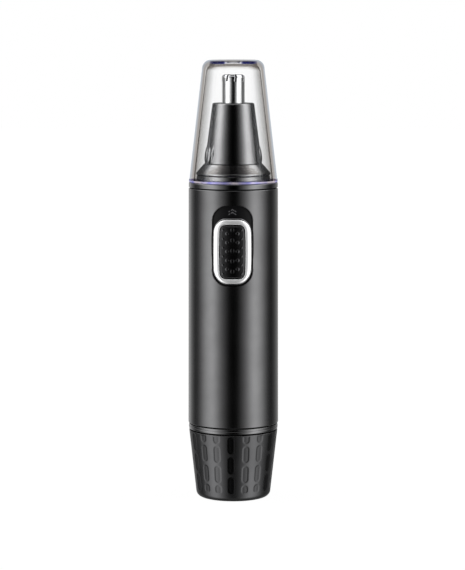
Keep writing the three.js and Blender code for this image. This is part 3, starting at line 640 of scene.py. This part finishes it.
def handle_shell():
    fine = 30.0
    angles = [-fine + 0.5 * i for i in range(int(4 * fine))] + even(100, fine, 360 - fine)
    heights = [SHELL_LOW + 0.2, SHELL_LOW + 0.25] + stepped(26, 69, 5) + stepped(69.12, 95.2, 0.125)
    heights += stepped(96, 98.5, 1.25) + [SHELL_HIGH - 0.25, SHELL_HIGH - 0.2]

    def profile(angle):
        side = []
        for z in heights:
            r = shell_radius(z)
            if abs(near(angle, 0)) < fine + 1:
                x = r * math.sin(math.radians(angle))
                r = lerp(r, RECESS_R, smooth(-outside(RECESS, x, z), -0.12, 0.1))
            side.append((r, z))
        foot = [(SHELL_BORE, SHELL_LOW), (SHELL_LOW_R - 0.2, SHELL_LOW), (SHELL_LOW_R - 0.06, SHELL_LOW + 0.06)]
        top = [(SHELL_HIGH_R - 0.06, SHELL_HIGH - 0.06), (SHELL_HIGH_R - 0.2, SHELL_HIGH)]
        return foot + side + top + [(SHELL_BORE, SHELL_HIGH)]

    verts, faces = spun(profile, angles)
    piece("handle_shell_skin", verts, faces, "satin_black", "handle", ["handle_shell"], 60)


def in_shadow(obj, chosen):
    """Gives the faces chosen by their distance from the axis and height a dull near-black painted shadow, for the
    shade in a gap between parts.
    """
    obj.data.materials.append(FINISH["painted_gap_shadow"])
    last = len(obj.data.materials) - 1
    for face in obj.data.polygons:
        x, y, z = face.center / MM
        if chosen(math.hypot(x, y), z):
            face.material_index = last


def base_ring():
    obj = turned(
        "base_ring",
        [
            (12.25, 21.92), (13.4, 21.92), (13.4, 22.2), (14.2, 22.2, 0.12), (14.26, 22.9, 0.3),
            (14.18, 23.0, 0.2), (14.26, 23.1, 0.3), (14.2, 23.8, 0.12), (13.4, 23.8), (13.4, 24.1),
            (12.25, 24.1),
        ],
        "gloss_black", "handle", facets=192,
    )
    in_shadow(obj, lambda across, z: across < 13.9)


def handle_inner_parts():
    # the lower socket of the battery tube, with three pockets open towards the cap
    outline = [
        (10.3, 22.1), (12.1, 22.1), (12.1, 33), (9, 33), (9, 59.8), (12.1, 59.8), (12.1, 61.3), (7.7, 61.3),
        (7.7, 31), (9.1, 31), (9.1, 30.9), (9.1, 30.9), (9.1, 27.01), (9.1, 27), (10.3, 27),
    ]
    verts, faces = spun_lugs(outline, {11: 10.4, 12: 10.4, 13: 10.4}, 62, 70)
    piece("battery_tube_socket", verts, faces, "grey_plastic", "handle", ["battery_tube"])


# ---------------------------------------------------------------- thumb switch
def outline_of(shape):
    """Points round an upright outline, from the bottom middle, anticlockwise seen from the front."""
    count = 160
    middle = (shape["low"] + shape["high"]) / 2
    points = []
    for k in range(count):
        t = math.tau * (k + 0.5) / count - math.pi / 2
        ray = Vector((math.cos(t) * 0.75, math.sin(t)))
        near_end, far_end = 0.0, 30.0
        for _ in range(40):
            half = (near_end + far_end) / 2
            if outside(shape, ray.x * half, middle + ray.y * half) < 0:
                near_end = half
            else:
                far_end = half
        points.append(Vector((ray.x * near_end, middle + ray.y * near_end)))
    return points


def inset_of(points, distance):
    """The outline moved inwards."""
    out = []
    for i, p in enumerate(points):
        along = (points[(i + 1) % len(points)] - points[i - 1]).normalized()
        out.append(p + Vector((-along.y, along.x)) * distance)
    return out


def on_front(x, z, radius):
    return (x, -math.sqrt(radius * radius - x * x), z)


def front_ring(name, shape, inside, layers, slot, body, nodes):
    """A ring that follows the handle's curve.

    layers are (share of the way from the outline to the inside one, radius) round its closed section.
    """
    pairs = list(zip(outline_of(shape), outline_of(inside)))
    loops = [[a.lerp(b, share) for a, b in pairs] for share, _ in layers]

    def place(i, j):
        return on_front(*loops[i][j], layers[i][1])

    verts, faces = lattice(len(layers), len(pairs), place, True)
    piece(name, verts, faces, slot, body, nodes, 180)


def front_plate(name, shape, layers, slot, body, nodes, look=None):
    """A plate that follows the handle's curve.

    layers are (inset, radius) up its edge, and its face closes over the last.
    """
    base = outline_of(shape)
    loops = [(inset_of(base, d), r) for d, r in layers]
    low, high = shape["low"] + shape["corner"], shape["high"] - shape["corner"]
    inset, radius = layers[-1]
    for share in (0.8, 0.6, 0.4, 0.2, 0.0):
        drawn_in = [(p.x * share, lerp(min(max(p.y, low), high), p.y, share)) for p in inset_of(base, inset)]
        loops.append(([Vector(p) for p in drawn_in], radius))

    def place(i, j):
        loop, radius = loops[i]
        return on_front(*loop[j], radius)

    verts, faces = lattice(len(loops), len(base), place)
    faces.append(tuple(range(len(base))))
    piece(name, verts, faces, slot, body, nodes, 50, look)


PAD = {"half": 3.85, "bow": 0.12, "low": 72.05, "high": 88.45, "corner": 1.5}
PAD_R, PAD_WALL = 15.12, 0.5
# How far the pad's face falls back at its edge, and at the ends of its length: (drop, middle, half length).
PAD_EDGE, PAD_CROWN = 0.22, (0.06, 80.2, 8.2)
# The rows of bumps: (how many, lowest, step, out to the side, half width, half height, how tall).
OVALS = (5, 74.05, 3.27, 0.0, 0.64, 0.9, 0.075)
ROUNDS = (5, 74.8, 2.8, 1.64, 0.62, 0.66, 0.11)
DASHES = (6, 73.4, 2.75, 2.95, 0.28, 0.5, 0.09)


def pad_relief(x, z):
    """The height of the pad's bumps: ovals up the middle, round bumps beside them and slanted dashes outside."""
    def bump(across, over, tall):
        """A bump that is steepest at its top and fades out towards its foot."""
        rho = max(0.1, math.hypot(across, over))
        turn = over / rho
        return tall * smooth(-rho, -1, -0.48 - (0.28 if turn > 0 else 0.36) * turn)

    heights = [0.0]
    for side in (-1, 1):
        for count, low, step, out, wide, high, tall in (OVALS, ROUNDS):
            heights += [bump((x - side * out) / wide, (z - low - step * k) / high, tall) for k in range(count)]
        count, low, step, out, wide, high, tall = DASHES
        for k in range(count):
            dx, dz = x - side * out, z - low - step * k
            along, across = 0.8 * dz + side * 0.6 * dx, 0.8 * dx - side * 0.6 * dz
            rho = math.hypot(along / high, across / wide)
            heights.append(tall * smooth(-rho, -1, -0.2))
    return max(heights)


def switch_pad():
    heights = stepped(PAD["low"], PAD["high"], 0.11)
    columns = 74
    corner = PAD["corner"]

    def reach(z):
        """Half the pad's width at that height."""
        middle = (PAD["low"] + PAD["high"]) / 2
        tall = (PAD["high"] - PAD["low"]) / 2
        half = PAD["half"] + PAD["bow"] * (1 - ((z - middle) / tall) ** 2)
        into = max(0.0, abs(z - middle) - tall + corner)
        return half - corner + math.sqrt(max(0.0, corner * corner - into * into))

    def place(i, j):
        z = heights[i]
        x = reach(z) * (2 * j / (columns - 1) - 1)
        edge = smooth(-outside(PAD, x, z), 0, 0.35)
        drop, middle, half = PAD_CROWN
        radius = PAD_R - PAD_EDGE * (1 - edge) + edge * pad_relief(x, z) - drop * ((z - middle) / half) ** 2
        return on_front(x, z, radius)

    verts, faces = lattice(len(heights), columns, place, False, False)
    # walls that go down into the slider, and a floor of straight strips from side to side
    foot, head = list(range(columns)), list(range(len(verts) - columns, len(verts)))
    left = list(range(columns, len(verts) - columns, columns))
    right = [v + columns - 1 for v in left]
    rim = foot + right + head[::-1] + left[::-1]
    below = {v: len(verts) + k for k, v in enumerate(rim)}
    verts += [(x, y + PAD_WALL, z) for x, y, z in [verts[v] for v in rim]]
    faces += [(rim[k - 1], v, below[v], below[rim[k - 1]]) for k, v in enumerate(rim)]
    sides = list(zip([foot[0], *left, head[0]], [foot[-1], *right, head[-1]]))
    faces += [tuple(below[v] for v in (*low, *high[::-1])) for low, high in zip(sides, sides[1:])]
    faces += [tuple(below[v] for v in row) for row in (foot, head)]
    piece("switch_pad_top", verts, faces, "grip_black", "switch", ["switch_pad"], 180, "pad_black")


def switch():
    front_plate(
        "switch_escutcheon_plate", RECESS,
        [(-0.25, 13.3), (-0.25, 13.7)], "gloss_black", "handle", ["switch_escutcheon"], "recess_black",
    )
    front_plate(
        "switch_slider_plate", SLIDER,
        [(0, 13.85), (0, 14.2), (0.05, 14.33), (0.15, 14.42), (0.3, 14.48), (0.42, 14.5)],
        "gloss_black", "switch", ["switch_slider"],
    )
    section = [
        (0, 14.56), (0, 14.98), (0.03, 15.13), (0.09, 15.25), (0.19, 15.33), (0.38, 15.39), (0.57, 15.4),
        (0.72, 15.39), (0.85, 15.36), (0.94, 15.31), (0.985, 15.23), (1, 15.08), (1, 14.56),
    ]
    front_ring("switch_bezel_ring", BEZEL, BEZEL_INSIDE, section, "chrome", "switch", ["switch_bezel"])
    switch_pad()


# ---------------------------------------------------------------- neck
def neck_collar():
    outline = rounded([
        (3.4, 91.5), (12.25, 91.5), (12.25, 99.48), (13.4, 99.48), (13.4, 99.78), (14.18, 99.78, 0.08),
        (14.18, 101.3, 0.3), (12.45, 101.3), (12.45, 101.7, 0.1), (11.65, 101.8), (11.65, 103.5, 0.2),
        (10.55, 103.5, 0.15), (10.55, 102.4),
    ], 4)
    step = len(outline)
    outline += [(9.5, 102.4), (9.5, 97.52), (9.5, 97.5), (9.5, 93.2)]
    outline += [(4.6, 93.2), (4.6, 100.2), (4.4, 100.4), (3.4, 100.4)]
    verts, faces = spun_lugs(outline, {step: 10.5, step + 1: 10.5}, 57, 105, 192)
    obj = piece("neck_collar_body", verts, faces, "gloss_black", "handle", ["neck_collar"])
    obj.data.materials.append(FINISH["cone_black"])
    for face in obj.data.polygons:
        if face.center.z > 101.5 * MM:
            face.material_index = 1
    in_shadow(obj, lambda across, z: 99.4 < z < 99.8 and 12.5 < across < 14.05)
    seal = [(2.98, 100.5), (4.5, 100.5), (4.5, 101.2, 0.15), (3.2, 101.2), (2.98, 101)]
    turned("shaft_seal", seal, "rubber", "handle", facets=64)


# ---------------------------------------------------------------- cutter head
CONE_LOW, CONE_HIGH, CONE_LOW_R, CONE_HIGH_R = 107.4, 126.5, 9.1, 6.62
RIB_MIDDLE, RIB_STEP, RIB_COUNT, RIB_LOW, RIB_HIGH, RIB_HALF, RIB_OUT = 105.0, 13.0, 5, 107.7, 112.6, 0.72, 0.34


def cone_radius(z):
    return lerp(CONE_LOW_R, CONE_HIGH_R, (z - CONE_LOW) / (CONE_HIGH - CONE_LOW))


def rib_height(angle, z):
    """How far the finger ribs stand out: slim lenses in two groups on opposite sides."""
    across = min(abs(near(angle, RIB_MIDDLE)), abs(near(angle, RIB_MIDDLE + 180)))
    index = round(across / RIB_STEP)
    if index > RIB_COUNT // 2:
        return 0.0
    middle, half = (RIB_LOW + RIB_HIGH) / 2, (RIB_HIGH - RIB_LOW) / 2
    u = cone_radius(z) * math.radians(across - index * RIB_STEP) / RIB_HALF
    v = (z - middle) / half
    return RIB_OUT * max(0.0, 1 - u * u - v * v) ** 0.6


def nose_cone():
    heights = [107.4, 107.55] + stepped(107.7, 112.6, 0.16) + stepped(113.2, 125.8, 1.4)

    def profile(angle):
        side = [(cone_radius(z) + rib_height(angle, z), z) for z in heights]
        mouth = [(CONE_HIGH_R, CONE_HIGH, 0.6), (3.72, CONE_HIGH, 0.12), (3.72, 122.6), (7.12 - 1.35, 122.6)]
        return side + rounded([side[-1], *mouth], 6)[1:] + [(7.75, 107.4)]

    verts, faces = spun(profile, even(360))
    piece("nose_cone_body", verts, faces, "satin_black", "cutter_head", ["nose_cone"], 50, "cone_black")


def head_flange():
    outline = rounded([
        (8.2, 98.3), (9.2, 98.3), (9.2, 98.32), (9.2, 99.98), (9.2, 100), (9.2, 103.75), (11.85, 103.75, 0.12),
        (11.85, 104.3, 0.25), (11.45, 104.75, 0.5), (9.35, 107.15, 0.5), (9.05, 107.3), (8.2, 107.3),
    ], 4)
    verts, faces = spun_lugs(outline, {2: 10.3, 3: 10.3}, 25, 90, 192)
    piece("head_flange_body", verts, faces, "satin_black", "cutter_head", ["head_flange"], 35, "cone_black")


FOIL_R, FOIL_TOP, FOIL_LOW, FOIL_WALL = 3.62, 135.5, 122.0, 0.3
SLOT_HALF, SLOT_START, SLOT_FOOT, SLOTS, SLOT_FIRST = 0.24, 0.9, 133.35, 8, 16.0
SLOT_SLANT = 2.2  # degrees to a millimetre of height


def outer_foil():
    """The cutter tube: one skin with the slots left out, given its wall by a modifier."""
    side = [(FOIL_R, z) for z in (FOIL_LOW, 124, 126.5, 129, 131, 132.6, 133.2)]
    slotted = [(FOIL_R, z) for z in stepped(SLOT_FOOT, FOIL_TOP - 1.0, 0.3)]
    edge = [
        (FOIL_R - 1 + math.cos(t), FOIL_TOP - 1 + math.sin(t))
        for t in (math.pi / 2 * k / 8 for k in range(1, 9))
    ]
    flat = [(r, FOIL_TOP) for r in (2.2, 1.7, 1.3, SLOT_START)] + [(0.5, FOIL_TOP), (0, FOIL_TOP)]
    rows = side + slotted + edge + flat
    first, last = len(side), len(side) + len(slotted) + len(edge) + 3
    per = 14  # columns between two slots

    def place(i, j):
        r, z = rows[i]
        slot, k = divmod(j, per)
        half = math.degrees(math.asin(min(1.0, SLOT_HALF / max(r, SLOT_START))))
        wide = 360 / SLOTS
        slant = SLOT_SLANT * max(0.0, FOIL_TOP - z)
        angle = SLOT_FIRST + wide * slot + lerp(half, wide - half, k / (per - 1)) - slant
        return on_round(r, angle, z)

    def keep(i, j):
        return not (j % per == per - 1 and first <= i < last)

    verts, faces = lattice(len(rows), per * SLOTS, place, False, True, keep)
    obj = piece("outer_foil_tube", verts, faces, "steel", "cutter_head", ["outer_foil"], 40)
    wall = obj.modifiers.new("wall", "SOLIDIFY")
    wall.thickness = FOIL_WALL * MM
    wall.offset = -1
    wall.use_even_offset = True
    # painted shade: the tube's inside and the walls of its slots take the near-black painted shadow
    obj.data.materials.append(FINISH["painted_gap_shadow"])
    wall.material_offset = wall.material_offset_rim = 1


def head_inner_parts():
    ring("head_seal", 9.95, 0.45, 102.95, "rubber", "head_carrier")
    turned(
        "spindle_housing",
        [
            (1.65, 104.8), (3.5, 104.8, 0.2), (3.5, 117), (5.1, 117), (6.4, 104.8, 0.2), (7.6, 104.8, 0.2),
            (7.6, 107.4), (6.05, 119.3), (2.65, 119.3), (2.65, 116.4), (1.65, 116.4),
        ],
        "grey_plastic", "cutter_head", facets=96,
    )


# ---------------------------------------------------------------- clear cap
CLEAR_LEAN, CLEAR_WALL = math.tan(math.radians(6.63)), 1.35
CLEAR_FOOT, CLEAR_LOW, CLEAR_TOP = 101.4, 102.6, 140.1
CLEAR_LOW_R, CLEAR_RECESS_R = 13.95, 7.7
# Where the rim ends, and where the shade, the step and the flat of the recess under the top begin.
CLEAR_RIM_HIGH, CLEAR_SHADE_LOW, CLEAR_STEP_LOW, CLEAR_FLAT_LOW = 102.06, 138.2, 138.9, 139


def clear_outer(z):
    return CLEAR_LOW_R - CLEAR_LEAN * (z - CLEAR_LOW)


def clear_inner(z):
    return clear_outer(z) - CLEAR_WALL


def clear_part(across, z, slope, inward):
    """The material of a face of the clear cap, by its distance from the axis, its height and how it faces."""
    if z < CLEAR_RIM_HIGH:
        return "clear_rim"
    if z > CLEAR_FLAT_LOW and across < 7.2 and abs(slope) > 0.9:
        return "clear_flat"
    if z > CLEAR_STEP_LOW and across < 7.8 and abs(slope) < 0.5:
        return "clear_step" if across > 5 else "clear_gate"
    if CLEAR_SHADE_LOW < z < CLEAR_STEP_LOW and across < 7.72:
        return "clear_shade"
    return "clear_inside" if inward or slope < -0.5 and z > 120 else "clear"


def clear_cap():
    # the inside corner under the top, from the foot of the recess outwards
    under, foot = 138.7, (clear_inner(CLEAR_FOOT), CLEAR_FOOT)
    corner = rounded([(0, under), (clear_inner(under), under, 2.6), foot], 14)[1:-1]
    corner = [point for point in corner if point[0] > CLEAR_RECESS_R + 0.05]
    outline = [
        foot, (14.1, CLEAR_FOOT, 0.2), (14.13, 102.05), (14.15, 102.3, 0.2),
        (clear_outer(CLEAR_LOW), CLEAR_LOW, 0.15), (clear_outer(CLEAR_TOP), CLEAR_TOP, 2.7), (0, CLEAR_TOP),
        (0, 139.05), (2.3, 139.05), (2.4, 139.62), (7.6, 139.62), (7.63, 139.1), (7.65, 138.84),
        (CLEAR_RECESS_R, 138.14), *corner,
    ]
    obj = turned("clear_cap_shell", outline, "clear", "clear_cap", ["clear_cap"], facets=256, steps=10)
    looks = ("clear", "clear_inside", "clear_rim", "clear_step", "clear_gate", "clear_shade", "clear_flat")
    for name in looks[1:]:
        obj.data.materials.append(FINISH[name])
    for face in obj.data.polygons:
        x, y, z = face.center / MM
        inward = face.normal.x * x + face.normal.y * y < -0.001
        face.material_index = looks.index(clear_part(math.hypot(x, y), z, face.normal.z, inward))


# ---------------------------------------------------------------- marks
def slide_mark():
    """Two plain printed chevrons that point the way the switch slides: a thin layer of ink on the plate."""
    verts, faces = [], []
    for base in (91.75, 92.65):
        outline = [(-1.2, 0), (0, 0.75), (1.2, 0), (1.2, 0.32), (0, 1.07), (-1.2, 0.32)]
        start, count = len(verts), len(outline)
        for radius in (13.712, 13.69):
            arms = ((0, 1, 4, 5), (1, 2, 3, 4))
            faces += [tuple(len(verts) + corner for corner in arm) for arm in arms]
            verts += [on_front(x, base + up, radius) for x, up in outline]
        for k in range(count):
            after = (k + 1) % count
            faces.append((start + k, start + after, start + count + after, start + count + k))
    piece("slide_mark", verts, faces, "white_plastic", "handle", (), 35, "print_grey")


battery_cap()
cap_inner_parts()
cell()
handle_shell()
base_ring()
handle_inner_parts()
switch()
neck_collar()
nose_cone()
head_flange()
outer_foil()
head_inner_parts()
clear_cap()
slide_mark()

# The CAD nodes that stay in view keep their shape and take the finish of their slot; the inner blade instead takes
# a darker steel, which is painted shade.
for part in frame["record"]["subparts"]:
    node = frame["nodes"][part["node"]]
    if node.hide_render:
        continue
    node.data.materials.clear()
    node.data.materials.append(FINISH["painted_shade_steel" if part["node"] == "inner_blade" else part["material_slot"]])


# ---------------------------------------------------------------- studio
def white_floor():
    mesh = bpy.data.meshes.new("studio_floor")
    size, level = 3.0, -1e-4  # in metres; just under the trimmer
    corners = [(-size, -size), (size, -size), (size, size), (-size, size)]
    mesh.from_pydata([(x, y, level) for x, y in corners], [], [(0, 1, 2, 3)])
    obj = bpy.data.objects.new("studio_floor", mesh)
    bpy.context.scene.collection.objects.link(obj)
    n = Nodes("studio_floor")
    n.link(n.mix(n.noise(3, 2), (0.02, 0.02, 0.02), (0.03, 0.03, 0.03)), n.shader.inputs["Base Color"])
    n.shader.inputs["Roughness"].default_value = 0.9
    n.shader.inputs["Specular IOR Level"].default_value = 0.0
    n.shader.inputs["Emission Color"].default_value = (1, 1, 1, 1)
    n.shader.inputs["Emission Strength"].default_value = 0.98
    mesh.materials.append(n.material)
    obj.visible_glossy = False
    obj.visible_diffuse = False
    obj.visible_shadow = False


# The studio as the trimmer sees it: (degrees round from the front, brightness). Two tall soft boxes stand one
# either side of the camera, and a white sheet hangs behind. The first list is level and below, the second is above
# the horizon.
LEVEL_LIGHT = [
    (0, 0.0), (9, 0.015), (14, 0.09), (21, 0.28), (28, 0.55), (36, 1.0), (44, 1.7), (53, 2.3), (61, 2.37),
    (70, 1.95), (79, 1.4), (89, 0.7), (101, 0.2), (115, 0.11), (131, 0.44), (146, 0.78), (158, 0.75),
    (170, 0.35), (180, 0.12),
]
UPPER_LIGHT = [
    (0, 0.0), (16, 0.01), (24, 0.07), (34, 0.27), (41, 0.55), (49, 1.0), (56, 1.7), (65, 2.45), (73, 2.7),
    (83, 2.5), (92, 1.9), (103, 1.1), (112, 0.7), (124, 0.35), (135, 0.4), (154, 0.8), (180, 1.0),
]
# Overhead the soft boxes lean in over the trimmer: (how far out to the side, brightness).
ARCH_LIGHT = [
    (0, 0.0), (0.12, 0.01), (0.17, 0.14), (0.25, 0.26), (0.325, 0.5), (0.4, 1.0), (0.45, 1.8), (0.51, 3.5),
    (0.57, 4.6), (0.66, 4.1), (0.8, 1.7), (1, 0.8),
]
MOST_LIGHT = 4.6
OVERHEAD_BEHIND, OVERHEAD_FRONT, UNDERFOOT = 0.95, 0.9, 0.2
# The share of the light that is left from behind and to the right.
BEHIND_RIGHT = 0.52


def studio_world():
    """Plain white to look at. As light, it is the two soft boxes and the white sheet."""
    world = bpy.data.worlds.new("studio")
    bpy.context.scene.world = world
    world.use_nodes = True
    tree = world.node_tree
    tree.nodes.clear()

    def add(kind, *inputs, **values):
        node = tree.nodes.new("ShaderNode" + kind)
        for key, value in values.items():
            setattr(node, key, value)
        for socket, value in zip(node.inputs, inputs):
            if isinstance(value, (int, float)):
                socket.default_value = value
            elif value is not None:
                tree.links.new(value, socket)
        return node

    def curve(stops, share):
        ramp = add("ValToRGB", share)
        elements = ramp.color_ramp.elements
        while len(elements) < len(stops):
            elements.new(0.5)
        for element, (place, light) in zip(elements, stops):
            element.position = place / stops[-1][0]
            element.color = (*[light / MOST_LIGHT] * 3, 1)
        return ramp.outputs[0]

    def blend(value, start, end, a, b):
        """a where value is start, b where it is end; b may be a brightness."""
        share = add("MapRange", value, start, end, 0.0, 1.0, interpolation_type="SMOOTHSTEP").outputs[0]
        node = add("Mix", data_type="RGBA")
        tree.links.new(share, node.inputs["Factor"])
        tree.links.new(a, node.inputs[6])
        if isinstance(b, float):
            node.inputs[7].default_value = (*[b / MOST_LIGHT] * 3, 1)
        else:
            tree.links.new(b, node.inputs[7])
        return node.outputs[2]

    split = add("SeparateXYZ", add("TexCoord").outputs["Generated"])
    side = add("Math", split.outputs["X"], operation="ABSOLUTE").outputs[0]
    ahead = add("Math", split.outputs["Y"], -1.0, operation="MULTIPLY").outputs[0]
    turn = add("Math", side, ahead, operation="ARCTAN2").outputs[0]
    share = add("Math", turn, 1 / math.pi, operation="MULTIPLY").outputs[0]
    # level, the front edge of the right soft box stands 3 degrees further round than the left one's, and from 65
    # degrees on they agree
    further = add("MapRange", share, 0.0, 0.36, -0.018, 0.36, clamp=False).outputs[0]
    further = add("Math", share, further, operation="MINIMUM").outputs[0]
    is_right = add("Math", split.outputs["X"], 0.0, operation="GREATER_THAN").outputs[0]
    level_share = add("MapRange", is_right, 0.0, 1.0, share, further).outputs[0]
    up = split.outputs["Z"]
    light_of = blend(up, 0.06, 0.2, curve(LEVEL_LIGHT, level_share), curve(UPPER_LIGHT, share))
    arch = blend(split.outputs["Y"], 0.35, 0.7, curve(ARCH_LIGHT, side), OVERHEAD_BEHIND)
    arch = blend(split.outputs["Y"], -0.2, -0.45, arch, OVERHEAD_FRONT)
    light_of = blend(up, 0.5, 0.72, light_of, arch)
    light_of = blend(up, -0.6, -0.95, light_of, UNDERFOOT)
    light = add("Background")
    tree.links.new(light_of, light.inputs["Color"])
    right = add("Math", split.outputs["X"], 0.0, operation="MAXIMUM").outputs[0]
    behind_right = add("Math", right, split.outputs["Y"], operation="MULTIPLY").outputs[0]
    least = BEHIND_RIGHT * MOST_LIGHT
    strength = add("MapRange", behind_right, 0.15, 0.45, MOST_LIGHT, least, interpolation_type="SMOOTHSTEP")
    tree.links.new(strength.outputs[0], light.inputs["Strength"])
    seen = add("Background")
    seen.inputs["Color"].default_value = (1, 1, 1, 1)
    mix = add("MixShader", add("LightPath").outputs["Is Camera Ray"], light.outputs[0], seen.outputs[0])
    add("OutputWorld", mix.outputs[0])


# Where the camera stands, in metres: from the axis, to the left of it as it looks, and above the table.
CAMERA_AWAY, CAMERA_LEFT, CAMERA_UP = 0.735, 0.00026, 0.147
# How far it is turned round the trimmer to the right, and how far it looks down.
CAMERA_TURN, CAMERA_DOWN = 1.2, 6.11


def camera():
    data = bpy.data.cameras.new("camera")
    data.lens, data.sensor_width = 145.8, 36.0
    data.clip_start, data.clip_end = 0.01, 20
    obj = bpy.data.objects.new("camera", data)
    bpy.context.scene.collection.objects.link(obj)
    turn = math.radians(CAMERA_TURN)
    obj.location = (CAMERA_AWAY * math.sin(turn) - CAMERA_LEFT, -CAMERA_AWAY * math.cos(turn), CAMERA_UP)
    obj.rotation_euler = (math.radians(90 - CAMERA_DOWN), 0, turn)
    bpy.context.scene.camera = obj


white_floor()
studio_world()
camera()
bpy.context.scene.view_settings.view_transform = "Standard"
